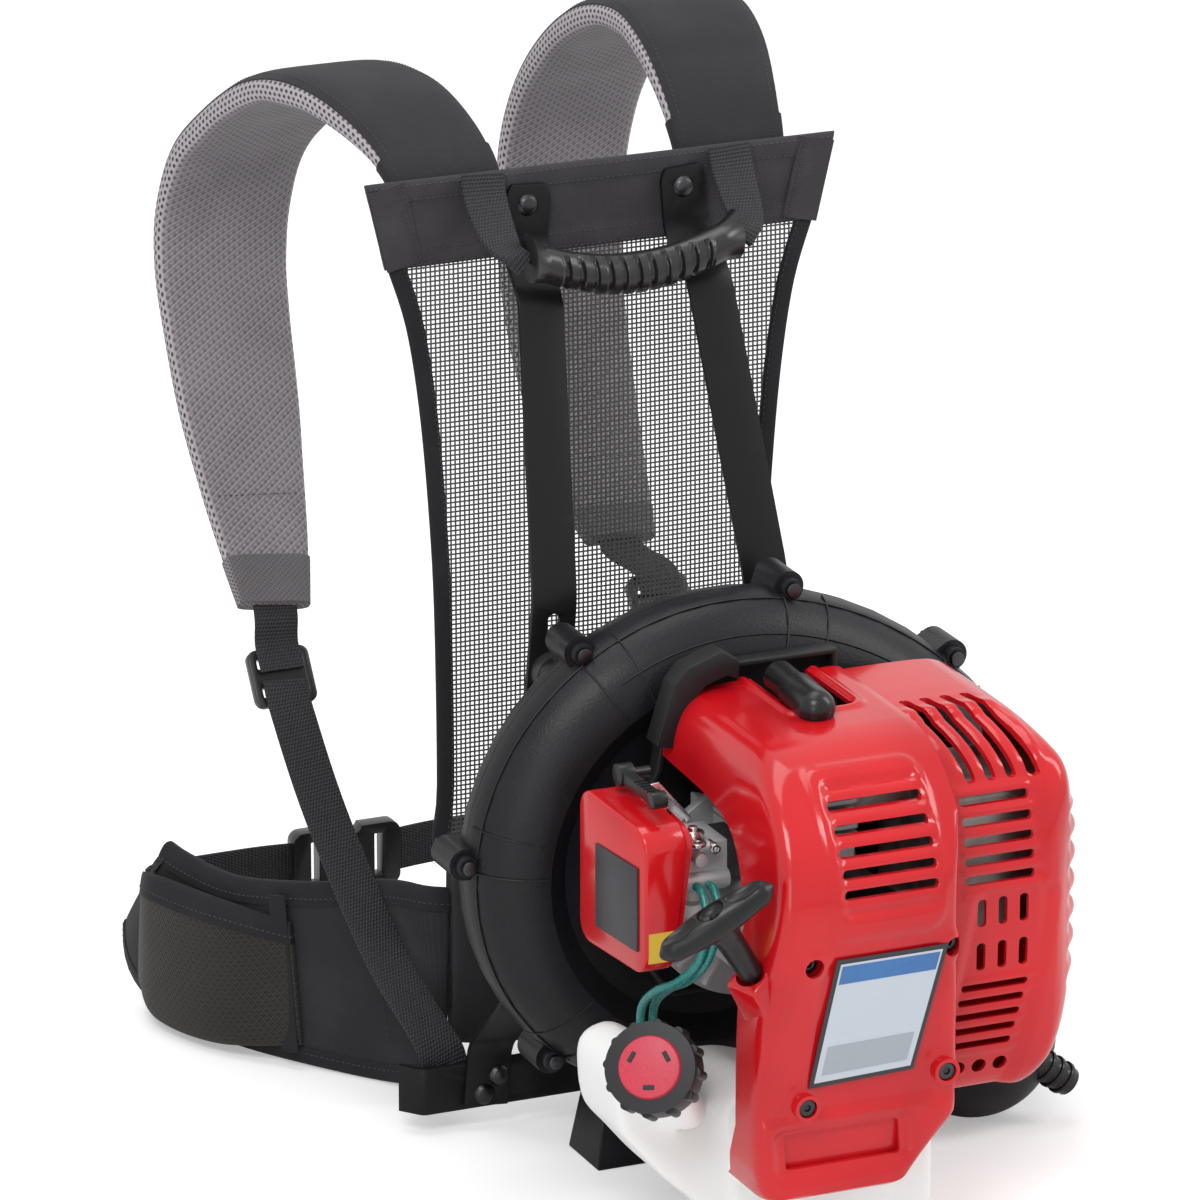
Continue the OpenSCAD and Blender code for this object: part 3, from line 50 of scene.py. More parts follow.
MM = 0.001
# The sizes below are in millimetres from the back panel; this is the footprint's middle in them
ORIGIN = Vector((17, -33, 0))


def at(x, y, z):
    """A place in millimetres from the back panel, as a point of the scene."""
    return (Vector((x, y, z)) - ORIGIN) * MM


# ---- shader building --------------------------------------------------------


class Value:
    """A socket in a shader, so that shader maths reads as an expression."""

    def __init__(self, shader, socket):
        self.shader = shader
        self.socket = socket

    def maths(self, operation, *others):
        return self.shader.node("ShaderNodeMath", {"operation": operation}, [self, *others])

    def __add__(self, other):
        return self.maths("ADD", other)

    __radd__ = __add__

    def __mul__(self, other):
        return self.maths("MULTIPLY", other)

    __rmul__ = __mul__

    def __sub__(self, other):
        return self.maths("SUBTRACT", other)

    def __rsub__(self, other):
        return self.shader.node("ShaderNodeMath", {"operation": "SUBTRACT"}, [other, self])

    def __truediv__(self, other):
        return self.maths("DIVIDE", other)

    def sin(self):
        return self.maths("SINE")

    def ramp(self, low, high):
        """0 below low, 1 above high, smooth between."""
        settings = {"interpolation_type": "SMOOTHSTEP"}
        sockets = {"Value": self, "From Min": low, "From Max": high}
        return self.shader.node("ShaderNodeMapRange", settings, sockets)


class Shader:
    """One material and the nodes behind it."""

    def __init__(self, name, **principled):
        self.material = bpy.data.materials.new(name)
        self.material.use_nodes = True
        self.tree = self.material.node_tree
        self.surface = self.tree.nodes["Principled BSDF"]
        for socket, value in principled.items():
            self.feed(self.surface.inputs[socket.replace("_", " ")], value)

    def feed(self, socket, value):
        if isinstance(value, Value):
            self.tree.links.new(value.socket, socket)
        else:
            socket.default_value = value

    def node(self, kind, settings=None, sockets=None, out=0):
        made = self.tree.nodes.new(kind)
        for key, value in (settings or {}).items():
            setattr(made, key, value)
        pairs = sockets.items() if isinstance(sockets, dict) else enumerate(sockets or [])
        for key, value in pairs:
            self.feed(made.inputs[key], value)
        return Value(self, made.outputs[out])

    def place(self):
        """Object coordinates, in millimetres."""
        point = self.node("ShaderNodeTexCoord", out="Object")
        return self.node("ShaderNodeVectorMath", {"operation": "SCALE"}, {"Vector": point, "Scale": 1000.0})

    def cloth(self):
        """Across and along the piece's own cloth, in millimetres."""
        uv = self.node("ShaderNodeUVMap", {"uv_map": "cloth"})
        scaled = self.node("ShaderNodeVectorMath", {"operation": "SCALE"}, {"Vector": uv, "Scale": 1000.0})
        split = self.tree.nodes.new("ShaderNodeSeparateXYZ")
        self.feed(split.inputs[0], scaled)
        return Value(self, split.outputs[0]), Value(self, split.outputs[1])

    def noise(self, size, detail=2.0, roughness=0.5):
        """Noise whose lumps are size millimetres across."""
        sockets = {"Vector": self.place(), "Scale": 1.0 / size, "Detail": detail, "Roughness": roughness}
        return self.node("ShaderNodeTexNoise", sockets=sockets)

    def mix(self, factor, first, second):
        """Colour first where factor is 0 and second where it is 1."""
        made = self.tree.nodes.new("ShaderNodeMix")
        made.data_type = "RGBA"
        for socket, value in zip((made.inputs[0], made.inputs[6], made.inputs[7]), (factor, first, second)):
            self.feed(socket, value)
        return Value(self, made.outputs[2])

    def bump(self, height, depth, strength=1.0):
        """Relief whose full height is depth millimetres."""
        sockets = {"Height": height, "Distance": depth * MM, "Strength": strength}
        self.feed(self.surface.inputs["Normal"], self.node("ShaderNodeBump", sockets=sockets))

    def give(self, socket, value):
        self.feed(self.surface.inputs[socket], value)

    def coat(self, colour, rough, height, depth):
        """Feeds the surface its colour, roughness and relief, and hands over the material."""
        self.give("Base Color", colour)
        self.give("Roughness", rough)
        self.bump(height, depth)
        return self.material


TURN = 2 * math.pi


def shade(colour, level=1.0):
    """A colour made level times as bright."""
    return (*(channel * level for channel in colour), 1.0)


def moulded(name, colour, grain=0.9, rough=0.42, depth=0.05, pale=1.6, sheen=0.5):
    """Moulded plastic with an even grain and faint pale wear."""
    shader = Shader(name, Roughness=rough, Specular_IOR_Level=sheen)
    fine, broad = shader.noise(grain, 3.0), shader.noise(45.0, 2.0)
    wear = fine.ramp(0.45, 0.75) * 0.35 + broad.ramp(0.4, 0.8) * 0.25
    return shader.coat(shader.mix(wear, shade(colour), shade(colour, pale)),
                       fine * 0.12 + (rough - 0.06) + broad.ramp(0.3, 0.7) * 0.06, fine, depth)


def glossy(name, colour, deep):
    """Gloss plastic with a soft shift of colour and a faint orange peel."""
    shader = Shader(name, Roughness=0.2, Specular_IOR_Level=0.35, Coat_Weight=0.22, Coat_Roughness=0.06)
    shift = shader.noise(60.0, 1.0).ramp(0.35, 0.7)
    return shader.coat(shader.mix(shift, shade(colour), shade(deep)), shader.noise(8.0, 2.0) * 0.05 + 0.16,
                       shader.noise(5.0, 1.0), 0.02)


def painted(name, colour, rough=0.34):
    """Powder-coated steel."""
    shader = Shader(name, Specular_IOR_Level=0.2)
    fine, scuffed = shader.noise(0.7, 2.0), shader.noise(14.0, 4.0, 0.7)
    return shader.coat(shader.mix(scuffed.ramp(0.58, 0.8) * 0.5, shade(colour), shade(colour, 2.4)),
                       scuffed * 0.14 + rough - 0.05, fine, 0.03)


def metal(name, colour, rough, grain=1.2, depth=0.06, stain=0.35, metallic=1.0):
    """Bare metal: cast, ground or stained, by its grain."""
    shader = Shader(name, Metallic=metallic)
    fine, blotch = shader.noise(grain, 4.0, 0.65), shader.noise(18.0, 3.0)
    return shader.coat(shader.mix(blotch.ramp(0.35, 0.75), shade(colour), shade(colour, 1 - stain)),
                       fine * 0.2 + (rough - 0.1), fine, depth)


def rubber(name, colour, rough=0.5):
    shader = Shader(name)
    fine = shader.noise(1.4, 3.0)
    return shader.coat(shader.mix(fine, shade(colour), shade(colour, 1.7)), fine * 0.15 + rough - 0.07,
                       fine, 0.04)


def woven(name, colour, pitch=1.1, depth=0.16, lift=1.9, twill=True, rough=0.8):
    """Cloth of pitch millimetres: a plain or a twill weave on the piece's own cloth map."""
    shader = Shader(name, Sheen_Weight=0.05, Sheen_Roughness=0.4, Specular_IOR_Level=0.2)
    across, along = shader.cloth()
    warp = (across * (TURN / pitch)).sin()
    weft = (along * (TURN / pitch)).sin()
    cloth = ((across + along) * (TURN / pitch)).sin() * 0.6 + weft * 0.4 if twill else warp * weft
    fade = shader.noise(30.0, 3.0)
    tone = cloth.ramp(-0.9, 1.0) * 0.7 + fade.ramp(0.4, 0.75) * 0.3
    return shader.coat(shader.mix(tone, shade(colour), shade(colour, lift)), cloth * 0.05 + rough,
                       cloth * 0.5 + shader.noise(0.6, 2.0) * 0.5, depth)


def spacer(name, colour, dark, pitch=3.1):
    """Knitted spacer mesh: rows of small open cells over foam."""
    shader = Shader(name, Sheen_Weight=0.1, Sheen_Roughness=0.5, Specular_IOR_Level=0.25)
    across, along = shader.cloth()
    turn = across * (TURN / pitch)
    slant = along * (TURN / pitch * 0.62)
    half = turn * 0.5
    cells = (turn + math.pi / 2).sin() + (half + slant + math.pi / 2).sin() + (half - slant + math.pi / 2).sin()
    # where the cloth is rolled over an edge its cells open and its yarn catches the light
    rolled = shader.node("ShaderNodeAttribute", {"attribute_name": "rolled"}, out="Fac")
    wales = (half * 2 - slant * 2).sin().ramp(-0.5, 0.9)
    holes = cells.ramp(-0.2, 1.7) * (rolled * 0.55 + 0.45)
    fade = shader.noise(38.0, 2.0)
    yarn = shader.mix(fade.ramp(0.35, 0.7), shade(colour), shade(colour, 0.82))
    yarn = shader.mix(wales * (0.5 - rolled * 0.5), yarn, shade(colour, 1.9))
    yarn = shader.mix(rolled * 0.8, yarn, shade([min(0.6, channel * 2.6) for channel in colour]))
    return shader.coat(shader.mix(holes, yarn, shade(dark)), holes * 0.1 + 0.75,
                       (1 - holes) * 0.7 + wales * 0.3, 0.6)


def ribbed(name, colour, pitch=2.0):
    """Heavy webbing: ribs across it, each of short slanted floats."""
    shader = Shader(name, Sheen_Weight=0.06, Sheen_Roughness=0.35, Specular_IOR_Level=0.3)
    across, along = shader.cloth()
    ribs = (along * (TURN / pitch)).sin()
    floats = (across * (TURN / (pitch * 0.9)) + along * (TURN / (pitch * 2))).sin()
    tone = (ribs * 0.5 + floats * 0.5).ramp(-0.6, 0.95)
    return shader.coat(shader.mix(tone, shade(colour), shade(colour, 3.4)), 0.62 - tone * 0.14, tone, 0.5)


WHITE = (1, 1, 1)
NEAR_BLACK = (0.010, 0.010, 0.011)
BLACK_PLASTIC = (0.009, 0.0088, 0.0105)
FINISH = {
    "painted_steel": painted("black powder coat", (0.008, 0.008, 0.009)),
    # fasteners darker than bare zinc: partly their own dark finish, partly painted shade of the recesses that
    # the screws sit in
    "steel_fastener": metal("dark zinc and painted recess shade", (0.075, 0.075, 0.08), 0.34),
    "band_nylon": woven("band nylon", (0.026, 0.0245, 0.0275), depth=0.22, lift=2.6),
    "net": moulded("net yarn", (0.055, 0.056, 0.056), rough=0.6, depth=0.02),
    "belt_nylon": woven("belt nylon", (0.016, 0.0152, 0.0168), lift=2.3),
    "pocket_mesh": spacer("pocket net", (0.022, 0.019, 0.017), (0.003, 0.003, 0.003), pitch=2.7),
    "webbing": ribbed("webbing", (0.010, 0.0095, 0.011)),
    "pad_mesh": spacer("grey spacer mesh", (0.19, 0.175, 0.186), (0.040, 0.035, 0.038)),
    "pad_hem": spacer("hem mesh", (0.115, 0.105, 0.112), (0.03, 0.027, 0.03), pitch=1.6),
    "buckle_plastic": moulded("buckle acetal", NEAR_BLACK, rough=0.3),
    "grip_rubber": moulded("grip rubber", NEAR_BLACK, rough=0.27, depth=0.03),
    "housing_plastic": moulded("housing plastic", BLACK_PLASTIC, grain=1.5, rough=0.36, depth=0.2, pale=1.9,
                               sheen=0.24),
    "mount_rubber": rubber("isolator rubber", (0.012, 0.012, 0.012)),
    "fan_nylon": moulded("fan nylon", (0.03, 0.03, 0.032)),
    "shaft_steel": metal("ground steel", (0.6, 0.6, 0.61), 0.25, grain=0.6),
    "cast_alloy": metal("cast alloy", (0.56, 0.57, 0.58), 0.48, depth=0.14, stain=0.2, metallic=0.6),
    "coil_black": moulded("potting", (0.02, 0.02, 0.022)),
    "plug_body": moulded("plug glaze", (0.72, 0.72, 0.7), rough=0.2),
    "boot_rubber": moulded("boot rubber", NEAR_BLACK, rough=0.26, depth=0.02, sheen=0.34),
    "lever_steel": metal("bright steel", (0.75, 0.75, 0.76), 0.22),
    "bulb": rubber("primer bulb", (0.22, 0.22, 0.16), 0.3),
    "knob_plastic": moulded("knob plastic", NEAR_BLACK, rough=0.3, sheen=0.3),
    "foam": rubber("filter foam", (0.08, 0.08, 0.07), 0.9),
    "cover_red": glossy("gloss red", (0.58, 0.008, 0.013), (0.50, 0.005, 0.010)),
    "muffler_steel": metal("muffler steel", (0.42, 0.4, 0.38), 0.42, stain=0.5),
    "shroud_plastic": moulded("shroud plastic", NEAR_BLACK, rough=0.45, sheen=0.3),
    "spring_steel": metal("spring steel", (0.5, 0.5, 0.5), 0.3),
    "tank_plastic": moulded("tank plastic", (0.86, 0.87, 0.86), grain=2.0, rough=0.38, depth=0.02, pale=1.05),
    "cap_plastic": moulded("cap plastic", (0.016, 0.016, 0.018), rough=0.42, sheen=0.3),
    "tape": woven("binding tape", (0.011, 0.0105, 0.012), pitch=1.0, depth=0.12, lift=2.2, twill=False),
    "thread": moulded("bonded thread", (0.035, 0.034, 0.037), rough=0.5, depth=0.02),
    "rope": woven("starter rope", (0.02, 0.02, 0.02), pitch=1.6),
    "cap_disc": moulded("cap disc", (0.50, 0.030, 0.060), grain=1.8, rough=0.42, depth=0.12, pale=1.35),
    "plate_pale": moulded("plate face", (0.50, 0.56, 0.62), grain=3.0, rough=0.35, depth=0.01, pale=1.06),
    "plate_yellow": moulded("warning patch", (0.62, 0.42, 0.03), rough=0.4, depth=0.01, pale=1.1),
    "plate_blue": moulded("plate band", (0.035, 0.14, 0.36), rough=0.35, depth=0.01),
    "plate_grey": moulded("plate foot", (0.34, 0.38, 0.42), rough=0.35, depth=0.01, pale=1.1),
    "plate_dark": moulded("plate border", (0.02, 0.02, 0.024), rough=0.35, depth=0.01),
    "line_green": moulded("fuel line", (0.014, 0.17, 0.155), grain=1.3, rough=0.25, depth=0.14, pale=2.4),
}

# ---- camera, lights and floor -----------------------------------------------

EYE = at(-1796.7, -4131.4, 1782.05)
AIM = at(-19.42, -44.0, 290.72)
LENS = 267.9


def new_object(name, data):
    thing = bpy.data.objects.new(name, data)
    bpy.context.scene.collection.objects.link(thing)
    return thing


def aim(thing, location, target):
    """Stands a camera or lamp at location, looking at target."""
    thing.location = location
    thing.rotation_euler = (target - location).to_track_quat("-Z", "Y").to_euler()
    return thing


def add_camera():
    data = bpy.data.cameras.new("camera")
    data.lens = LENS
    data.sensor_width = 36.0
    bpy.context.scene.camera = aim(new_object("camera", data), EYE, AIM)


def add_lamp(name, location, power, width, height):
    data = bpy.data.lights.new(name, "AREA")
    data.energy = power
    data.shape = "RECTANGLE"
    data.size = width
    data.size_y = height
    aim(new_object(name, data), Vector(location), Vector((0, 0, 0.3)))


def add_world():
    world = bpy.data.worlds.new("studio")
    bpy.context.scene.world = world
    world.use_nodes = True
    tree = world.node_tree
    back = tree.nodes["Background"]
    rays = tree.nodes.new("ShaderNodeLightPath")
    seen = rays.outputs["Is Camera Ray"]
    for kind in ("Is Glossy Ray", "Is Transmission Ray"):
        either = tree.nodes.new("ShaderNodeMath")
        either.operation = "MAXIMUM"
        tree.links.new(seen, either.inputs[0])
        tree.links.new(rays.outputs[kind], either.inputs[1])
        seen = either.outputs[0]
    level = tree.nodes.new("ShaderNodeMapRange")
    level.inputs["To Min"].default_value = 0.5
    level.inputs["To Max"].default_value = 1.0
    tree.links.new(seen, level.inputs["Value"])
    back.inputs["Color"].default_value = shade(WHITE)
    tree.links.new(level.outputs[0], back.inputs["Strength"])


def add_floor():
    floor = primitive(bpy.ops.mesh.primitive_plane_add, "floor", size=14.0)
    shader = Shader("floor", Roughness=0.8, Specular_IOR_Level=0.2)
    tint = shader.noise(900.0, 1.0)
    shader.give("Base Color", shader.mix(tint, shade(WHITE, 0.9), shade(WHITE, 0.88)))
    # the floor looks white to the camera and keeps the shadow
    seen = shader.node("ShaderNodeLightPath", out="Is Camera Ray")
    shader.give("Emission Color", shader.mix(seen, shade(WHITE, 0), shade(WHITE, 0.34)))
    shader.give("Emission Strength", 1.0)
    floor.data.materials.append(shader.material)


def add_studio():
    add_camera()
    add_world()
    add_floor()
    add_lamp("key", (-1.6, -1.9, 2.6), 44.0, 1.4, 1.0)
    add_lamp("rim", (1.9, -0.9, 1.7), 24.0, 0.8, 1.6)
    add_lamp("top", (-0.2, 0.3, 2.8), 26.0, 2.2, 1.4)
    add_lamp("front", (-2.6, -3.2, 0.9), 17.0, 1.2, 1.8)
    bpy.context.scene.view_settings.view_transform = "Standard"


# ---- shaping helpers ---------------------------------------------------------


def activate(thing):
    bpy.ops.object.select_all(action="DESELECT")
    thing.select_set(True)
    bpy.context.view_layer.objects.active = thing


def applied(thing):
    """The thing with its place, turn and size worked into its mesh."""
    activate(thing)
    bpy.ops.object.transform_apply(location=True, rotation=True, scale=True)
    return thing


def turn_into(thing, matrix):
    """Stands a piece made about the origin in its place."""
    thing.matrix_world = matrix
    return applied(thing)


def primitive(add, name, scale=(1, 1, 1), **settings):
    add(**settings)
    thing = bpy.context.object
    thing.name = name
    thing.scale = scale
    return applied(thing)


def join(things):
    """One mesh of several."""
    bpy.ops.object.select_all(action="DESELECT")
    for thing in things:
        thing.select_set(True)
    bpy.context.view_layer.objects.active = things[0]
    bpy.ops.object.join()
    return things[0]


def modify(thing, kind, **settings):
    """Adds a modifier and applies it."""
    activate(thing)
    modifier = thing.modifiers.new(kind.lower(), kind)
    for key, value in settings.items():
        setattr(modifier, key, value)
    bpy.ops.object.modifier_apply(modifier=modifier.name)
    return thing


def round_edges(thing, width, segments=2, angle=35):
    return modify(thing, "BEVEL", width=width * MM, segments=segments, limit_method="ANGLE",
                  angle_limit=math.radians(angle), miter_outer="MITER_ARC")


def smooth(thing, angle=35):
    activate(thing)
    bpy.ops.object.shade_smooth_by_angle(angle=math.radians(angle))
    return thing


REPLACED = set()


def finish(thing, slot, look=None, body="frame", node=None):
    """Hands a piece its finish, chosen by its look or else its material slot, and its body, and hides the CAD
    node that it stands for.
    """
    thing.data.materials.clear()
    thing.data.materials.append(FINISH[look or slot])
    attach(thing, body)
    if node:
        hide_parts(node)
        REPLACED.add(node)
    return thing


def settle(thing, node, look=None):
    """Makes a piece stand for a CAD node, in that node's slot and on its body."""
    return finish(thing, SLOT_OF[node], look, BODY_OF[node], node)


def copy_node(node, name):
    """A merged copy of a CAD node's mesh, its flat faces whole again."""
    thing = new_object(name, NODES[node].data.copy())
    thing.data.materials.clear()
    activate(thing)
    bpy.ops.object.mode_set(mode="EDIT")
    bpy.ops.mesh.select_all(action="SELECT")
    bpy.ops.mesh.remove_doubles(threshold=0.00002)
    bpy.ops.mesh.dissolve_limited(angle_limit=math.radians(0.6))
    bpy.ops.object.mode_set(mode="OBJECT")
    return thing


def dress(node, width, segments=2, angle=35, look=None, reshape=None):
    """The CAD node itself with its edges rounded as moulded, cast or bent."""
    thing = copy_node(node, node + "_skin")
    if reshape:
        for vertex in thing.data.vertices:
            vertex.co = at(*reshape(*(vertex.co / MM + ORIGIN)))
    if width:
        round_edges(thing, width, segments, angle)
    settle(smooth(thing, angle), node, look)


def tank_top_drop(x, z):
    """How far the tank's top lies below its CAD form, beside the engine cover."""
    share = min(1, max(0, (x + 92) / 34))
    return 25 * share * share * (3 - 2 * share) * min(1, max(0, (z - 40) / 95))


def remesh(thing, voxel):
    return modify(thing, "REMESH", mode="VOXEL", voxel_size=voxel * MM)


def melt(thing, voxel, rounds):
    """Remeshes a piece finely and smooths it."""
    return modify(remesh(thing, voxel), "SMOOTH", factor=0.5, iterations=rounds)


def soften(node, voxel, rounds, drop):
    """The CAD node blow-moulded: its top let down, remeshed finely and smoothed."""
    thing = remesh(copy_node(node, node + "_skin"), voxel)
    for vertex in thing.data.vertices:
        x, z = vertex.co.x / MM + ORIGIN.x, vertex.co.z / MM
        vertex.co.z -= drop(x, z) * MM
    settle(smooth(melt(thing, voxel, rounds), 180), node)


def bare(*names):
    """Nodes that stay as they are, in their own finish."""
    for node in names:
        data = NODES[node].data
        data.materials.clear()
        data.materials.append(FINISH[SLOT_OF[node]])


# ---- lofts, webbing and thread ----------------------------------------------


def smooth_run(rows, steps):
    """A smooth run through rows of numbers, steps of it from each row to the next."""
    run = []
    last = len(rows) - 1
    for i in range(last):
        before, start, end, after = (rows[min(max(k, 0), last)] for k in (i - 1, i, i + 1, i + 2))
        for k in range(steps):
            t = k / steps
            run.append([0.5 * (2 * b + (c - a) * t + (2 * a - 5 * b + 4 * c - d) * t * t
                               + (3 * b - a - 3 * c + d) * t ** 3)
                        for a, b, c, d in zip(before, start, end, after)])
    run.append(list(rows[last]))
    return run


def course(places, sections):
    """Rows of a place and the section there."""
    return [[*place, *section] for place, section in zip(places, sections)]


def stations(rows, side):
    """Each row's point, the direction across the strip there, and the one out of its face."""
    points = [at(*row[:3]) for row in rows]
    side = Vector(side)
    last = len(points) - 1
    made = []
    for i, point in enumerate(points):
        run = (points[min(i + 1, last)] - points[max(i - 1, 0)]).normalized()
        wide = (side - run * side.dot(run)).normalized()
        made.append((point, wide, run.cross(wide)))
    return made


def loft(name, rings, ends=True):
    """A closed skin through rings of points, with its cloth map in metres round and along."""
    count = len(rings[0])
    places = []
    along = 0.0
    for i, ring in enumerate(rings):
        if i:
            along += (sum(ring, Vector()) - sum(rings[i - 1], Vector())).length / count
        around, edge = [0.0], 0.0
        for k in range(count):
            edge += (ring[(k + 1) % count] - ring[k]).length
            around.append(edge)
        places.append([(a - edge / 2, along) for a in around])
    mesh = bmesh.new()
    layer = mesh.loops.layers.uv.new("cloth")
    points = [[mesh.verts.new(p) for p in ring] for ring in rings]
    for i in range(len(rings) - 1):
        for k in range(count):
            n = (k + 1) % count
            face = mesh.faces.new((points[i][k], points[i + 1][k], points[i + 1][n], points[i][n]))
            spots = (places[i][k], places[i + 1][k], places[i + 1][k + 1], places[i][k + 1])
            for loop, uv in zip(face.loops, spots):
                loop[layer].uv = uv
    if ends:
        for ring in (points[0], points[-1]):
            face = mesh.faces.new(ring)
            for loop in face.loops:
                loop[layer].uv = (loop.vert.co.x, loop.vert.co.z)
    bmesh.ops.recalc_face_normals(mesh, faces=mesh.faces)
    data = bpy.data.meshes.new(name)
    mesh.to_mesh(data)
    mesh.free()
    return new_object(name, data)


def power(value, exponent):
    return math.copysign(abs(value) ** exponent, value)


def soft_ring(point, wide, out, half, deep, count, square=0.5, crown=0.8):
    """Rounded section of half width half and half thickness deep, in millimetres."""
    ring = []
    for k in range(count):
        turn = TURN * (k + 0.5) / count
        ring.append(point + wide * (half * MM * power(math.cos(turn), square))
                    + out * (deep * MM * power(math.sin(turn), crown)))
    return ring


def flat_ring(point, wide, out, half, deep):
    """Section of webbing: flat faces and rounded selvedges."""
    edge = min(deep, 0.9)
    near, slope, third = half - edge * 0.3, deep * 0.7, half * 0.33
    corners = [(half - edge, deep), (near, slope), (half, 0), (near, -slope), (half - edge, -deep),
               (third, -deep), (-third, -deep), (edge - half, -deep), (-near, -slope), (-half, 0),
               (-near, slope), (edge - half, deep), (-third, deep), (third, deep)]
    return [point + wide * (a * MM) + out * (b * MM) for a, b in corners]


def webbing(name, rows, side, steps=8):
    """Webbing, 25 by 2 mm, through rows of x, y, z and, where given, its own width and thickness there."""
    rows = smooth_run([row if len(row) > 3 else [*row, 25.0, 2.0] for row in rows], steps)
    return smooth(loft(name, [flat_ring(*station, row[3] / 2, row[4] / 2)
                              for row, station in zip(rows, stations(rows, side))]), 50)


STITCHES = []


def stitch(points, outs, pitch=3.3, long=2.3, wide=0.75):
    """Beads of thread on a run of points, lying on faces whose directions out are outs."""
    due = 0.0
    for a, b, out in zip(points, points[1:], outs):
        step = b - a
        length = step.length
        if length < 1e-9:
            continue
        run = step / length
        while due < length:
            STITCHES.append((a + run * due, run, out.normalized(), long * MM / 2, wide * MM / 2))
            due += pitch * MM
        due -= length


def sew():
    """Makes one mesh of all the thread."""
    verts, faces = [], []
    for centre, run, out, half, thin in STITCHES:
        across = run.cross(out)
        base = len(verts)
        verts += [centre - run * half, centre + run * half, centre + across * thin, centre - across * thin,
                  centre + out * thin * 1.2, centre - out * thin]
        faces += [(base + a, base + b, base + c) for a, b, c in
                  ((0, 2, 4), (0, 4, 3), (0, 3, 5), (0, 5, 2), (1, 4, 2), (1, 3, 4), (1, 5, 3), (1, 2, 5))]
    finish(solid_of("thread_frame", verts, faces), "webbing", "thread")


def subdivide(thing, levels=1):
    return modify(thing, "SUBSURF", levels=levels, render_levels=levels)


# ---- shoulder pads -----------------------------------------------------------


def mark_rolled(thing, count):
    """Marks the points of a lofted pad by how near they are to its rolled edges."""
    layer = thing.data.attributes.new("rolled", "FLOAT", "POINT")
    for index in range(len(thing.data.vertices)):
        turn = TURN * (index % count + 0.5) / count
        layer.data[index].value = min(1.0, max(0.0, (abs(math.cos(turn)) - 0.8) / 0.15))


PAD_START, PAD_POINTS, SLEEVE_POINTS = 2.5, 36, 32
# Width and thickness of both pads from the band down, and the course of each as x, y, z
PAD_SECTIONS = [(60, 6), (62, 9), (66, 15.2), (72, 19), (75, 19), (77, 19), (77, 19), (77, 19), (77, 19),
                (75, 19), (72, 19), (68, 19), (60, 17.1), (50, 15.2), (39, 8)]
PAD_LEFT = course([(-86, PAD_START + 3, 498), (-86, PAD_START + 6, 516), (-88, 36, 530), (-92, 80, 539),
                   (-97, 125, 538), (-101, 166, 526), (-106, 206, 502), (-111, 238, 474), (-115, 252, 440),
                   (-119, 247, 408), (-122, 230, 376), (-126, 204, 340), (-129, 180, 308), (-133, 152, 278),
                   (-138, 124, 252)], PAD_SECTIONS)
PAD_RIGHT = course([(77, PAD_START + 3, 498), (77, PAD_START + 6, 516), (79, 28, 538), (84, 62, 556),
                    (88, 102, 563), (88, 146, 554), (88, 190, 530), (88, 228, 496), (87, 249, 458),
                    (86, 255, 416), (84, 247, 374), (81, 225, 334), (78, 194, 298), (76, 166, 272),
                    (74, 144, 256)], PAD_SECTIONS)


def pad_cushion(name, places):
    """Spacer mesh with rolled edges, its inner face quilted lightly by the fold of the pad."""
    rings = []
    for i, (row, (point, wide, out)) in enumerate(places):
        half, deep = row[3] / 2, row[4] / 2
        bend = math.exp(-((i - 34) / 16) ** 2) + 0.5 * math.exp(-((i - 96) / 10) ** 2)
        ring = []
        for k in range(PAD_POINTS):
            turn = TURN * (k + 0.5) / PAD_POINTS
            c, s = math.cos(turn), math.sin(turn)
            ripple = 0.3 * math.sin(i * 0.9 + 2.2 * c) + 0.9 * bend * math.sin(i * 0.62 + 1.3 * c * c)
            ripple *= max(s, 0)
            ring.append(point + wide * (half * MM * power(c, 0.45))
                        + out * ((deep * power(s, 0.62) + ripple) * MM))
        rings.append(ring)
    pad = loft(name, rings)
    mark_rolled(pad, PAD_POINTS)
    return smooth(subdivide(pad), 60)


def pad_sleeve(name, places, more_half, more_deep, square):
    """A closed skin lying off the pad's own along a stretch of it."""
    rings = [soft_ring(*station, row[3] / 2 + more_half, row[4] / 2 + more_deep, SLEEVE_POINTS, square, 0.62)
             for row, station in places]
    return smooth(loft(name, rings), 60)


def pad_nylon(name, places):
    """Nylon over the pad's outer face, sewn down inside the rolled edges."""
    shares = [k / 16 * 2 - 1 for k in range(17)]
    rings, left_edge, right_edge, outs = [], [], [], []
    for row, (point, wide, out) in places:
        half, deep = row[3] / 2 * 0.955, row[4] / 2
        ring = []
        for t in shares:
            rise = deep * (1 - 0.34 * abs(t) ** 5) + 0.9 * (1 - abs(t) ** 12)
            ring.append(point + wide * (half * t * MM) - out * (rise * MM))
        ring += [point + wide * (half * t * MM) - out * (deep * 0.55 * MM) for t in reversed(shares)]
        rings.append(ring)
        left_edge.append(ring[1])
        right_edge.append(ring[15])
        outs.append(-out)
    finish(smooth(loft(name, rings), 60), "belt_nylon")
    stitch(left_edge, outs)
    stitch(right_edge, outs)


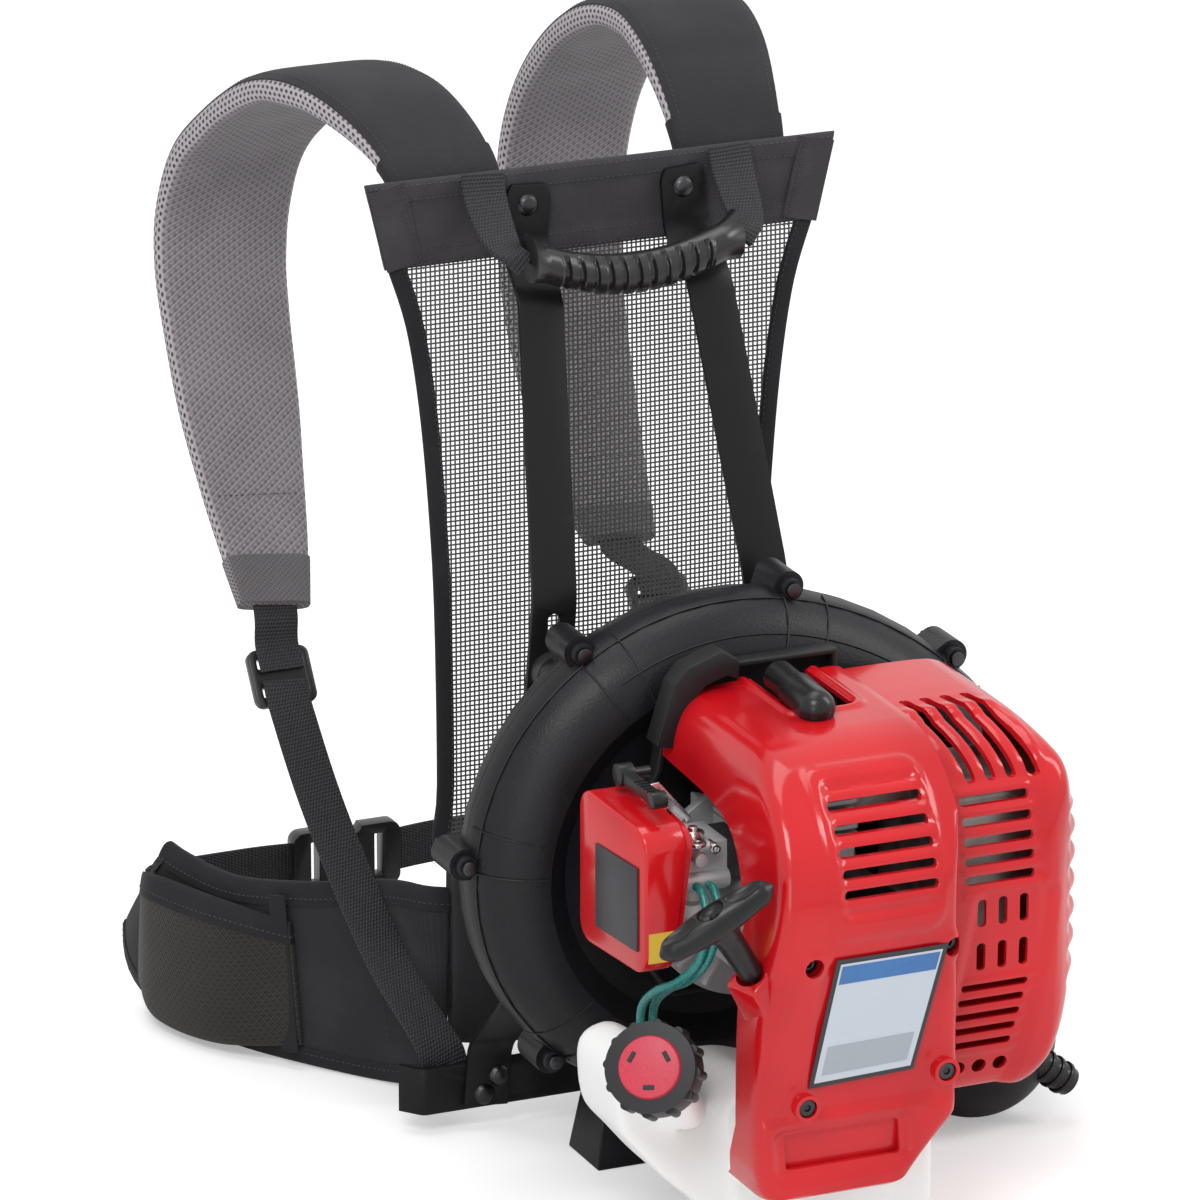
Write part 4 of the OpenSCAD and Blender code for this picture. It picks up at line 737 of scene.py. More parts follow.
def shoulder_pad(node, rows):
    """Pad with its nylon, the tongue sewn to the band, the hem over its end and the bars of stitches."""
    rows = smooth_run(rows, 8)
    places = list(zip(rows, stations(rows, (1, 0, 0))))
    settle(pad_cushion(node + "_pad", places), node)
    finish(pad_sleeve(node + "_tongue", places[:13], 0.7, 0.8, 0.4), "belt_nylon")
    pad_nylon(node + "_nylon", places[:-6])
    hem = finish(pad_sleeve(node + "_hem", places[-7:], 0.9, 0.9, 0.42), "pad_mesh", "pad_hem")
    mark_rolled(hem, SLEEVE_POINTS)
    for row, (point, wide, out) in (places[-14], places[-4]):
        half, deep = row[3] / 2 * 0.8, row[4] / 2
        line = [point + wide * (half * t / 6 * MM) + out * (deep * 1.02 * MM) for t in range(-6, 7)]
        stitch(line, [out] * 12)


# ---- hip belt ----------------------------------------------------------------

# Middle's height, own height and thickness of both wings: the top edge dips over the hip and rises again to
# the pointed tip; then the course of each as x, y
WING_SECTIONS = [(67.5, 104.4, 9), (66.6, 110.2, 12), (58, 113, 14), (53.3, 103.6, 14), (50, 97, 14),
                 (52, 99, 14), (57, 99, 12.6), (66, 84, 7)]
WING_LEFT = course([(-86.2, 9.4), (-94.5, 14.2), (-109, 47), (-137, 85), (-161, 127), (-177, 170),
                    (-183, 196), (-184, 208)], WING_SECTIONS)
WING_RIGHT = course([(86.2, 9.4), (93.5, 13.8), (103, 50), (115, 90), (121, 128), (122, 167), (119, 194),
                     (116, 205)], WING_SECTIONS)
LUMBAR = [[-84, 9.6, 92, 110, 10], [-78, 9.6, 92, 122, 16], [-40, 9.6, 92, 130, 20], [0, 9.6, 92, 132, 20],
          [40, 9.6, 92, 130, 20], [78, 9.6, 92, 122, 16], [84, 9.6, 92, 110, 10]]


UPWARD = (0, 0, 1)
# Rows of the smoothed wing where the pocket's front tape and the dart are sewn
TAPE_ROW, DART_ROW = 22, 13


def wing_point(station, row, turn, lift=0.0):
    """Point of a padded section at an angle, lift millimetres off its skin."""
    point, wide, out = station
    c, s = math.cos(turn), math.sin(turn)
    return (point + wide * ((row[3] / 2 * power(c, 0.5) + lift * c) * MM)
            + out * ((row[4] / 2 * power(s, 0.8) + lift * s) * MM))


def padded_strip(name, rows, count=40):
    """Padded nylon along rows of x, y, z, height and thickness."""
    return loft(name, [[wing_point(place, row, TURN * (k + 0.5) / count) for k in range(count)]
                       for row, place in zip(rows, stations(rows, UPWARD))])


def cushion(node, name, rows):
    """A padded strip that stands for a CAD node."""
    return settle(smooth(subdivide(padded_strip(name, rows)), 60), node)


def edge_binding(name, rows, middle, lift=0.8):
    """Tape folded over one edge of a padded strip."""
    rings, seams = [], ([], [])
    outs = ([], [])
    for row, place in zip(rows, stations(rows, UPWARD)):
        # the tape reaches 12 mm down each face
        reach = math.acos(max(0.0, 1 - 12.0 / (row[3] / 2)) ** 2)
        turns = [math.radians(middle) + reach * (k / 6 - 1) for k in range(13)]
        rings.append([wing_point(place, row, turn, lift) for turn in turns]
                     + [wing_point(place, row, turn, -1.2) for turn in reversed(turns)])
        for line, out, turn in ((seams[0], outs[0], turns[1]), (seams[1], outs[1], turns[11])):
            line.append(wing_point(place, row, turn, lift + 0.1))
            out.append(place[2] * (1 if math.sin(turn) > 0 else -1))
    finish(smooth(loft(name, rings), 50), "belt_nylon", "tape")
    for line, out in zip(seams, outs):
        stitch(line, out)


def hip_wing(node, rows, outside):
    """Padded wing of the hip belt, bound along both edges, with the pocket's tape and a stitched dart."""
    rows = smooth_run(rows, 7)
    cushion(node, node + "_pad", rows)
    edge_binding(node + "_top_tape", rows, 0)
    edge_binding(node + "_low_tape", rows, 180)
    places = stations(rows, UPWARD)
    facing = 1 if places[20][2].x * outside > 0 else -1

    def stitched_line(index, high, low, lift):
        """Stitches down the outer face at one row of the wing, between two shares of its height."""
        point, wide, out = places[index]
        out = out * facing
        line = [point + wide * (rows[index][3] * (high + (low - high) * k / 8) * MM)
                + out * ((rows[index][4] / 2 + lift) * MM) for k in range(9)]
        stitch(line, [out] * 8)
        return line, out

    line, out = stitched_line(TAPE_ROW, 0.46, -0.41, 4.4)
    step = places[TAPE_ROW][2].cross(places[TAPE_ROW][1]).normalized()
    tape = [flat_ring(spot - out * 0.2 * MM, step, out, 5.5, 0.5) for spot in line]
    finish(smooth(loft(node + "_front_tape", tape), 50), "belt_nylon", "tape")
    stitched_line(DART_ROW, 0.34, -0.3, 0.7)


def pocket_rows(wing, outside):
    """The pocket's run along the outer face of its wing."""
    rows = []
    for i in range(3, 7):
        before, here, after = wing[i - 1], wing[i], wing[min(i + 1, len(wing) - 1)]
        run = (Vector(after[:3]) - Vector(before[:3])).normalized()
        thick = 3 if i in (3, 6) else 14
        reach = here[4] / 2 + thick / 2 + 0.9
        rows.append([here[0] + outside * reach * run.y, here[1] - outside * reach * run.x, 50,
                     88 - (18 if thick == 3 else 0), thick])
    return rows


def belt_pocket(node, wing, outside):
    """Net pocket whose elastic top sags between its ends."""
    rows = smooth_run(pocket_rows(wing, outside), 9)
    last = len(rows) - 1
    for i, row in enumerate(rows):
        sag = 5.0 * math.sin(math.pi * i / last)
        row[3] -= sag
        row[2] -= sag / 2
    settle(smooth(padded_strip(node + "_net", rows, 32), 60), node)
    edge_binding(node + "_elastic", rows, 0, lift=0.7)


# ---- back panel --------------------------------------------------------------

BAND_TOP, BAND_LOW, PANEL_Y = 519.0, 472.0, -1.5
# Half the band's width at its foot, and how much more that is at its top
BAND_HALF, BAND_FLARE = 123, 11
FORWARD = Vector((0, -1, 0))
PANEL = [(132, 76), (150, 97), (184, 95), (280, 96), (340, 99), (396, 104), (440, 111), (472, 121)]


def panel_half(z):
    """Half the back panel's width at a height."""
    for (z0, x0), (z1, x1) in zip(PANEL, PANEL[1:]):
        if z <= z1:
            return x0 + (x1 - x0) * max(0, z - z0) / (z1 - z0)
    return PANEL[-1][1]


def band_height(share):
    return BAND_LOW + (BAND_TOP - BAND_LOW) * share


def top_band():
    """Twill band with a doubled hem along each edge."""
    profile = [(0, 0.6), (0.02, 2.1), (0.06, 2.8), (0.2, 2.8), (0.235, 2.1), (0.3, 2.0), (0.7, 2.0),
               (0.765, 2.1), (0.8, 2.8), (0.94, 2.8), (0.98, 2.1), (1, 0.6)]
    rings = []
    steps = 60
    for i in range(steps + 1):
        t = i / steps * 2 - 1
        end = min(1.0, (1 - abs(t)) / 0.012 + 0.35)
        ring = []
        for side in (-1, 1):
            for share, deep in (profile if side < 0 else reversed(profile)):
                half = BAND_HALF + BAND_FLARE * share
                wave = 0.3 * math.sin(9 * t + 3 * share)
                ring.append(at(half * t, PANEL_Y + side * deep * end + wave, band_height(share)))
        rings.append(ring)
    settle(smooth(loft("top_band_cloth", rings), 50), "top_band")
    for share in (0.045, 0.205, 0.79, 0.955):
        half = BAND_HALF - 2 + BAND_FLARE * share
        line = [at(half * t / 20, PANEL_Y - 2.95 + 0.3 * math.sin(9 * t / 20 + 3 * share),
                   band_height(share)) for t in range(-20, 21)]
        stitch(line, [FORWARD] * 40)


def band_ends():
    """The band's ends, folded back and sewn down with a doubled seam."""
    for side in (-1, 1):
        rows = []
        for share in (0.04, 0.25, 0.5, 0.75, 0.96):
            half = BAND_HALF + BAND_FLARE * share
            rows.append([side * (half - 10.7), PANEL_Y - 2.9, band_height(share), 20.5, 1.4])
        name = "band_fold_left" if side < 0 else "band_fold_right"
        finish(webbing(name, rows, (1, 0, 0), steps=6), "band_nylon")
        for inset in (17.5, 20.0):
            line = [at(side * (BAND_HALF + BAND_FLARE * t / 12 - inset), PANEL_Y - 4.0, band_height(t / 12))
                    for t in range(13)]
            stitch(line, [FORWARD] * 12)


def net_panel():
    """Open net of crossed yarns inside the binding, a little slack."""
    pitch, wide, thin, inner = 2.6, 0.4, 0.3, 6.5
    verts, faces = [], []

    def slack(x, z):
        return 2.2 * math.cos(x / 100 * 1.2) * math.sin(math.pi * min(1, max(0, (z - 132) / 340)))

    def yarn(points, sideways):
        """One flat yarn through points."""
        base = len(verts)
        for x, z in points:
            y = PANEL_Y - slack(x, z) + 0.25
            for a, b in ((-wide, -thin), (wide, -thin), (wide, thin), (-wide, thin)):
                verts.append(at(x + (a if sideways else 0), y + b, z + (0 if sideways else a)))
        for i in range(len(points) - 1):
            for k in range(4):
                n = (k + 1) % 4
                faces.append((base + 4 * i + k, base + 4 * i + n, base + 4 * i + 4 + n, base + 4 * i + 4 + k))
        end = len(verts) - 4
        faces.extend([(base + 3, base + 2, base + 1, base), (end, end + 1, end + 2, end + 3)])

    z = 132 + 6
    while z < BAND_LOW + 3:
        half = panel_half(z) - inner + 3
        count = 10
        yarn([(half * (k / count * 2 - 1), z) for k in range(count + 1)], False)
        z += pitch
    x = -118.0
    while x < 118:
        inside = [z for z in range(134, 475, 2) if panel_half(z) - inner + 3 > abs(x)]
        if len(inside) > 2:
            runs, start = [], inside[0]
            for a, b in zip(inside, inside[1:] + [inside[-1] + 99]):
                if b - a > 2:
                    runs.append((start, a))
                    start = b
            for low, high in runs:
                count = max(2, int((high - low) / 30))
                yarn([(x, low + (high - low) * k / count) for k in range(count + 1)], True)
        x += pitch
    settle(solid_of("net_yarns", verts, faces), "mesh_panel")


def net_binding():
    """Folded tape round the net, down one side, along the bottom and up the other."""
    side = smooth_run([[x, z] for z, x in reversed(PANEL)], 5)
    outline = [(-x, z) for x, z in side] + [(x, z) for x, z in reversed(side)]
    rings = []
    last = len(outline) - 1
    edge_in = []
    for i, (x, z) in enumerate(outline):
        ax, az = outline[max(i - 1, 0)]
        bx, bz = outline[min(i + 1, last)]
        run = Vector((bx - ax, 0, bz - az)).normalized()
        inward = Vector((-run.z, 0, run.x))
        centre = at(x, PANEL_Y, z) + inward * 4.6 * MM
        rings.append(soft_ring(centre, inward, FORWARD, 4.9, 1.9, 16, 0.5, 0.7))
        edge_in.append(centre + inward * 3.4 * MM + FORWARD * 1.8 * MM)
    settle(smooth(loft("net_tape", rings), 50), "mesh_binding", "tape")
    stitch(edge_in, [FORWARD] * last)


# ---- webbing and handle ------------------------------------------------------


def lock_point(lock, tilt, up, off):
    """Point on an adjuster's middle plane, up it and off it."""
    c, s = math.cos(math.radians(tilt)), math.sin(math.radians(tilt))
    return [lock[0], lock[1] + off * c - up * s, lock[2] + off * s + up * c]


# Middle of each adjuster and its tilt, the webbing's distance off it, and the foot of the frame strap
ADJUSTERS = {"left": ([-139, 112, 215], -34), "right": ([84, 110, 228], -42)}
THREADED, FOOT_X, FOOT_Y = -4.5, 103.5, -32.7


def harness_webbing():
    """The straps' webbing above and below each adjuster, and the belt's on each side of its buckle."""
    runs = {
        "upper_webbing_left": [[-138, 121, 246], [-136.5, 130, 259], [-134.5, 142, 269]],
        "upper_webbing_right": [[74.5, 139, 251.4], [75, 150, 262], [75.6, 160, 268]],
        "lower_webbing_left": [[-132, 66, 150], [-121, 12, 88], [-110, FOOT_Y + 6, 54],
                               [-FOOT_X, FOOT_Y + 0.9, 36], [-FOOT_X, FOOT_Y, 16]],
        "lower_webbing_right": [[106, 52, 156], [118, 1, 92], [110, FOOT_Y + 6, 54],
                                [FOOT_X, FOOT_Y + 0.9, 36], [FOOT_X, FOOT_Y, 16]],
    }
    for node, rows in runs.items():
        end, _, side = node.split("_")
        near = [lock_point(*ADJUSTERS[side], up, THREADED) for up in ((3, 18) if end == "upper" else (-3, -20))]
        settle(webbing(node + "_woven", near + rows, (1, 0, 0)), node)
    waist = [[[-182, 209.3, 66], [-170, 216, 66], [-120, 218, 66], [-94.3, 216, 66]],
             [[-29.7, 216, 66], [0, 220, 66], [60, 220, 66], [112, 206.6, 66]]]
    for name, rows in zip(("waist_webbing_tongue", "waist_webbing_socket"), waist):
        settle(webbing(name, rows, UPWARD), "waist_webbing")


GRIP_HALF = 59.0


def grip_centre(x):
    """The grip's bowed middle line."""
    return (x, -42.0, 482 - 15 * (1 - (x / GRIP_HALF) ** 2))


def carry_grip():
    """Moulded grip: flared ends, a smooth back and a ribbed panel sunk in its front."""
    rings = []
    steps = 260
    for i in range(steps + 1):
        x = -GRIP_HALF + 2 * GRIP_HALF * i / steps
        share = abs(x) / GRIP_HALF
        radius = 11.2 - 1.6 * share ** 2 + 3.8 * max(0, (share - 0.84) / 0.16) ** 1.6
        if i in (0, steps):
            radius -= 1.8
        point = at(*grip_centre(x))
        ring = []
        for k in range(36):
            turn = TURN * k / 36
            # the panel faces the hand, down and away from the pack
            facing = math.cos(turn - math.radians(215))
            edge = min(1.0, max(0.0, (facing + 0.25 - 0.55 * max(0, abs(x) / 43 - 0.55)) * 6))
            inset = min(1.0, max(0.0, (43.5 - abs(x)) / 1.2)) * edge
            groove = 0.5 + 0.5 * math.cos((x / 8.0) * TURN)
            groove = min(1.0, max(0.0, (groove - 0.60) * 5))
            sink = inset * (0.7 + 2.2 * groove)
            ring.append(point + Vector((0, math.cos(turn), math.sin(turn))) * ((radius - sink) * MM))
        rings.append(ring)
    settle(smooth(loft("grip_moulding", rings), 50), "carry_grip")


def carry_loops():
    """Webbing from the band down to each end of the grip, folded narrow where it goes in."""
    for side, name in ((-1, "carry_loop_left"), (1, "carry_loop_right")):
        rows = [[side * 70, -7.4, 520, 24, 2], [side * 70.5, -12, 508, 24, 2], [side * 70, -24, 494, 22, 2.4],
                [side * 68.5, -35, 486, 18, 3.4], [side * 65.5, -41, 483, 14, 4.6],
                [side * 61.5, -43.5, 479, 13, 5.0]]
        settle(webbing(name, rows, (1, 0, 0), steps=6), "handle_webbing")


# ---- turned and moulded pieces -----------------------------------------------


def off(x, y, z):
    """A place in millimetres about a piece's own origin."""
    return Vector((x * MM, y * MM, z * MM))


def turned(name, start, end, near, far=None, sides=40):
    """A rod from one point to another, tapering from one radius to the other in millimetres."""
    axis = end - start
    far = near if far is None else far
    return primitive(bpy.ops.mesh.primitive_cone_add, name, vertices=sides, radius1=near * MM, radius2=far * MM,
                     depth=axis.length, location=(start + end) / 2,
                     rotation=axis.to_track_quat("Z", "Y").to_euler())


def ball(name, centre, radii, rings=20):
    """A ball with its own radius along each axis."""
    return primitive(bpy.ops.mesh.primitive_uv_sphere_add, name, radii, segments=rings * 2, ring_count=rings,
                     radius=MM, location=centre)


def block(name, low, high):
    """A block between two corners in millimetres from the back panel."""
    low, high = at(*low), at(*high)
    return primitive(bpy.ops.mesh.primitive_cube_add, name, high - low, size=1, location=(low + high) / 2)


def solid_of(name, verts, faces):
    """A closed mesh from its points and faces, its faces turned outward."""
    data = bpy.data.meshes.new(name)
    data.from_pydata([tuple(v) for v in verts], [], faces)
    mesh = bmesh.new()
    mesh.from_mesh(data)
    bmesh.ops.recalc_face_normals(mesh, faces=mesh.faces)
    mesh.to_mesh(data)
    mesh.free()
    return new_object(name, data)


def prism(name, near, far):
    """A closed solid between two matching rings of points."""
    count = len(near)
    faces = [tuple(range(count)), tuple(range(2 * count - 1, count - 1, -1))]
    faces += [(k, count + k, count + (k + 1) % count, (k + 1) % count) for k in range(count)]
    return solid_of(name, near + far, faces)


def combine(thing, *others, operation="UNION"):
    """Joins the others to a piece, or works them into it by another boolean."""
    for other in others:
        modify(thing, "BOOLEAN", object=other, operation=operation, solver="EXACT")
        bpy.data.objects.remove(other)
    return thing


def cut(thing, *others):
    """Takes the others out of a piece."""
    return combine(thing, *others, operation="DIFFERENCE")


HANDLE_BASE = at(-49.84, -306.72, 176.4)
HANDLE_TURN = Matrix.Rotation(math.radians(201), 4, "Z") @ Matrix.Rotation(math.radians(36), 4, "Y")


def wire(name, points, radius, sides=8):
    """A thin round run through points, radius in millimetres."""
    last = len(points) - 1
    rings = []
    for i, point in enumerate(points):
        run = (points[min(i + 1, last)] - points[max(i - 1, 0)]).normalized()
        wide = run.orthogonal() if i == 0 else (wide - run * wide.dot(run)).normalized()
        wide.normalize()
        out = run.cross(wide)
        turns = [TURN * k / sides for k in range(sides)]
        rings.append([point + (wide * math.cos(turn) + out * math.sin(turn)) * (radius * MM) for turn in turns])
    return smooth(loft(name, rings), 60)


# ---- fan housing ---------------------------------------------------------------

# Turns of the screw lugs round the shaft, in degrees
LUGS = [175.5, 121, 71, 31.5, -130]
SHAFT_X, SHAFT_Z, PARTING_Y = 4, 176, -120
# Radius of the scroll's rim, and how much more that is at its outlet
SCROLL_RIM, SCROLL_GROWTH = 134, 71


def scroll_swell(turn):
    """How far the scroll has widened toward its outlet, 0 to 1, at a turn round the shaft in degrees."""
    return (1 - (turn % 360) / 360) ** 9


def scroll_spot(turn, lean, lift=0.0):
    """Point of the scroll's skin: turn round the shaft and lean from the parting plane, in degrees."""
    swell = scroll_swell(turn)
    rim, tube, deep = SCROLL_RIM + SCROLL_GROWTH * swell, 36 + 9 * swell, 32 + 13 * swell
    lean, turn = math.radians(lean), math.radians(turn)
    radius = rim - tube + (tube + lift) * math.cos(lean)
    return at(SHAFT_X + radius * math.cos(turn), PARTING_Y - (deep + lift) * math.sin(lean),
              SHAFT_Z + radius * math.sin(turn))


def housing_details():
    """Ears of the screw lugs, the parting line, and the weld seams across the scroll."""
    for k, turn in enumerate(LUGS):
        radius, way = SCROLL_RIM + SCROLL_GROWTH * scroll_swell(turn) + 2, math.radians(turn)
        x, z = SHAFT_X + radius * math.cos(way), SHAFT_Z + radius * math.sin(way)
        ear = turned("ear_%d" % (k + 1), at(x, -127, z), at(x, -102, z), 8.6)
        inward = Vector((-math.cos(way), 0, -math.sin(way)))
        neck = block("neck", (17 - 12, -33 - 10.5, -8.6), (17 + 12, -33 + 14.5, 8.6))
        turn_into(neck, Matrix.Translation(at(x, -116.5, z) + inward * 12 * MM) @ Matrix.Rotation(-way, 4, "Y"))
        finish(smooth(round_edges(combine(ear, neck), 2.2, 3, 35), 40), "housing_plastic")
        for part, ahead, lift, thick in (("weld_%d", 1.5, 0.1, 0.7), ("rib_%d", -8.5, 0.05, 0.5)):
            spots = [scroll_spot(turn + ahead, lean, lift) for lean in range(8, 96, 8)]
            finish(wire(part % (k + 1), spots, thick), "housing_plastic")
    line = [scroll_spot(turn, 22, 0.05) for turn in range(14, 236, 3)]
    finish(wire("parting_line", line, 0.45, 6), "housing_plastic", "knob_plastic")
    edge = [scroll_spot(turn, 58, 0.1) for turn in range(40, 120, 3)]
    finish(wire("scroll_crease", edge, 0.5, 6), "housing_plastic")


def starter_handle():
    """T-handle: a bar with a dish on each side of the knot well, on a stem that widens into it."""
    pieces = [ball("bar", off(0, 0, 0), (34, 9.6, 9.0), rings=24)]
    for side in (-1, 1):
        pieces += [turned("half", off(side * 24, 0, 0), off(0, 0, 0), 7.2, 9.2),
                   ball("end", off(side * 24, 0, 0), (8.6, 7.2, 7.2))]
    pieces += [turned("stem", off(0, 0, -43), off(0, 0, -4), 6.4, 7.6),
               turned("flare", off(0, 0, -20), off(0, 0, -3), 6.2, 9.4)]
    bar = melt(join(pieces), 0.6, 14)
    for side in (-1, 1):
        cut(bar, ball("dish", off(side * 20, 0, 8.6), (11.5, 5.6, 4.2)))
    cut(bar, ball("well", off(0, 0, 8.4), (7.6, 5.8, 5.0)))
    knot = ball("starter_knot", off(0, 0, 4.2), (2.2, 2.2, 1.6), rings=10)
    place = Matrix.Translation(HANDLE_BASE) @ HANDLE_TURN
    turn = place @ Matrix.Translation((0, 0, 44 * MM)) @ Matrix.Rotation(math.radians(-28), 4, "Z")
    settle(turn_into(smooth(bar, 50), turn), "starter_handle")
    finish(smooth(turn_into(knot, turn), 60), "webbing", "rope", "pull_handle")
    finish(turned("starter_rope", place @ off(0, 0, -15), place @ off(0, 0, 2), 2.0), "webbing", "rope",
           "pull_handle")


CAP_TURN = Matrix.Rotation(math.radians(232), 4, "Z") @ Matrix.Rotation(math.radians(63), 4, "Y")
CAP_DIR = CAP_TURN @ Vector((0, 0, 1))
NECK_TOP = at(-99, -290, 128) - CAP_DIR * 21 * MM


def fuel_cap():
    """Knurled cap ring, and the coloured disc pressed into its face."""
    dress("fuel_cap", 1.4, 3, 30)
    place = Matrix.Translation(NECK_TOP) @ CAP_TURN
    disc = turned("cap_disc", off(0, 0, 20.4), off(0, 0, 23.2), 16.6, 15.6, 64)
    finish(turn_into(smooth(round_edges(disc, 0.4, 2, 30), 40), place), "cover_red", "cap_disc", "tank_cap")
    for k in range(3):
        slot = block("cap_slot_%d" % (k + 1), (17 - 1.3, -33 - 3.0, 22.4), (17 + 1.3, -33 + 3.0, 23.5))
        round_edges(slot, 0.4, 2, 40)
        spoke = Matrix.Rotation(TURN * (k + 0.05) / 3, 4, "Z") @ Matrix.Translation((10.4 * MM, 0, 0))
        slot.data.transform(place @ spoke)
        finish(slot, "cap_plastic", body="tank_cap")


def fuel_lines():
    """Two tubes from the tank's grommets up to the carburettor."""
    for k in (0, 1):
        x = -80 + 7 * k
        rows = [[x, -236, 116], [x, -236.5, 138], [x + 2, -250, 152], [x + 9 - k, -262, 160],
                [x + 18 - 2 * k, -268, 172], [x + 23 - k, -266, 188], [x + 24.5, -261, 199],
                [x + 24.5, -255, 205], [x + 24.5, -249.3, 205]]
        points = [at(*row) for row in smooth_run(rows, 5)]
        curve = bpy.data.curves.new("fuel_line_%d" % (k + 1), "CURVE")
        curve.dimensions = "3D"
        curve.bevel_depth = 2.3 * MM
        curve.bevel_resolution = 5
        curve.use_fill_caps = True
        spline = curve.splines.new("POLY")
        spline.points.add(len(points) - 1)
        for spot, point in zip(spline.points, points):
            spot.co = (*point, 1)
        line = settle(new_object(curve.name, curve), "fuel_lines")


# ---- engine and muffler covers -----------------------------------------------


def chaikin(outline):
    """Outline with its corners cut back and rounded."""
    for _ in range(2):
        made = []
        for (ax, ay), (bx, by) in zip(outline, outline[1:] + outline[:1]):
            made += [(ax * near + bx * (1 - near), ay * near + by * (1 - near)) for near in (0.75, 0.25)]
        outline = made
    return np.array(outline)


def reach_outside(u, v, outline):
    """Distance of each point outside a closed outline, negative within it."""
    nearest = np.full(u.shape, 1e9)
    inside = np.zeros(u.shape, bool)
    for (ax, ay), (bx, by) in zip(outline, np.roll(outline, -1, 0)):
        ex, ey = bx - ax, by - ay
        share = np.clip(((u - ax) * ex + (v - ay) * ey) / (ex * ex + ey * ey), 0, 1)
        nearest = np.minimum(nearest, np.hypot(u - ax - share * ex, v - ay - share * ey))
        crosses = (ay > v) != (by > v)
        if ey:
            inside ^= crosses & (u < ax + (v - ay) * ex / ey)
    return np.where(inside, -nearest, nearest)


def soft_max(a, b, width):
    """The greater of two distances, rounding the edge between them."""
    close = np.maximum(width - np.abs(a - b), 0) / width
    return np.maximum(a, b) + close * close * width / 4


def within(u, low, high, soft):
    """1 between low and high, falling to 0 over soft at each end."""
    rise = np.clip((u - low) / soft + 0.5, 0, 1)
    fall = np.clip((high - u) / soft + 0.5, 0, 1)
    return (rise * rise * (3 - 2 * rise)) * (fall * fall * (3 - 2 * fall))


def panel(u, v, low, high, corner, soft):
    """1 inside a rounded rectangle and 0 outside it, over a soft edge."""
    half = (np.array(high) - np.array(low)) / 2
    middle = (np.array(high) + np.array(low)) / 2
    du = np.abs(u - middle[0]) - half[0] + corner
    dv = np.abs(v - middle[1]) - half[1] + corner
    far = np.hypot(np.maximum(du, 0), np.maximum(dv, 0)) + np.minimum(np.maximum(du, dv), 0) - corner
    share = np.clip(0.5 - far / soft, 0, 1)
    return share * share * (3 - 2 * share)


def apart(points):
    return points[..., 0], points[..., 1], points[..., 2]


def meet(centre, rays, distance):
    """Where rays from a centre meet the form."""
    near, far = np.zeros(rays.shape[:2]), np.full(rays.shape[:2], 320.0)
    for _ in range(26):
        middle = (near + far) / 2
        outside = distance(*apart(centre + rays * middle[..., None])) > 0
        far = np.where(outside, middle, far)
        near = np.where(outside, near, middle)
    return centre + rays * near[..., None]


def ways_out(points, distance):
    """The direction out of the form at each point."""
    slope = [distance(*apart(points + shift)) - distance(*apart(points - shift)) for shift in 0.6 * np.eye(3)]
    normal = np.stack(slope, -1)
    return normal / np.maximum(np.linalg.norm(normal, axis=-1, keepdims=True), 1e-9)


def shell_skin(name, centre, spread, step, distance, relief, planes, thick=2.6):
    """Moulded shell: rays from a centre meet the form, relief raises its panels, planes trim it."""
    low, high = spread
    a, b = np.meshgrid(np.arange(low[0], high[0], step), np.arange(low[1], high[1], step), indexing="ij")
    polar = np.hypot(a, b)
    steer = np.where(polar > 1e-9, np.sin(polar) / np.maximum(polar, 1e-9), 1.0)
    rays = np.stack([a * steer, -np.cos(polar), b * steer], -1)
    points = meet(np.array(centre), rays, distance)
    height = relief(*apart(points))
    for axis in (0, 1):
        height = (np.roll(height, 1, axis) + 2 * height + np.roll(height, -1, axis)) / 4
    points = points + ways_out(points, distance) * height[..., None]
    points = (points - np.array(ORIGIN)) * MM
    rows, columns = a.shape
    index = np.arange(rows * columns).reshape(rows, columns)
    quads = np.stack([index[:-1, :-1], index[1:, :-1], index[1:, 1:], index[:-1, 1:]], -1).reshape(-1, 4)
    data = bpy.data.meshes.new(name)
    data.from_pydata(points.reshape(-1, 3).tolist(), [], quads.tolist())
    thing = new_object(name, data)
    activate(thing)
    bpy.ops.object.mode_set(mode="EDIT")
    for spot, away in planes:
        bpy.ops.mesh.select_all(action="SELECT")
        bpy.ops.mesh.bisect(plane_co=at(*spot), plane_no=away, clear_outer=True)
    bpy.ops.mesh.select_all(action="SELECT")
    bpy.ops.mesh.normals_make_consistent(inside=False)
    bpy.ops.object.mode_set(mode="OBJECT")
    # an open skin has no inside, so the way its front faces is looked at
    front = min(data.polygons, key=lambda face: face.center.y)
    if front.normal.y > 0:
        data.flip_normals()
    return modify(thing, "SOLIDIFY", thickness=thick * MM, offset=-1)


# Outlines of the two covers, in millimetres: SIDE as y, z, FRONT as x, z, PLAN and BITE as x, -y
SKIN_STEP, SKIN_CORNER = 0.0088, 9.0
COVER_SIDE = [(-120, 40), (-120, 284), (-246, 284), (-266, 281), (-284, 274), (-300, 262), (-314, 246),
              (-323, 228), (-328, 208), (-326, 186), (-318, 146), (-311, 106), (-315, 84), (-321, 40)]
COVER_FRONT = [(-51, 40), (-52, 120), (-49, 160), (-43, 200), (-38, 240), (-36, 262), (-30, 276), (-18, 284),
               (104, 287), (104, 116), (62, 85), (52, 76), (40, 64), (30, 52), (26, 40)]
LOBE_SIDE = [(-120, 76), (-120, 280), (-225, 280), (-250, 274), (-272, 262), (-286, 244), (-295, 216),
             (-297, 180), (-293, 120), (-286, 90), (-272, 76)]
LOBE_FRONT = [(30, 76), (30, 284), (108, 284), (122, 277), (134, 264), (145, 246), (151, 226), (154, 200),
              (154, 162), (148, 136), (137, 110), (127, 90), (119, 78), (114, 76)]
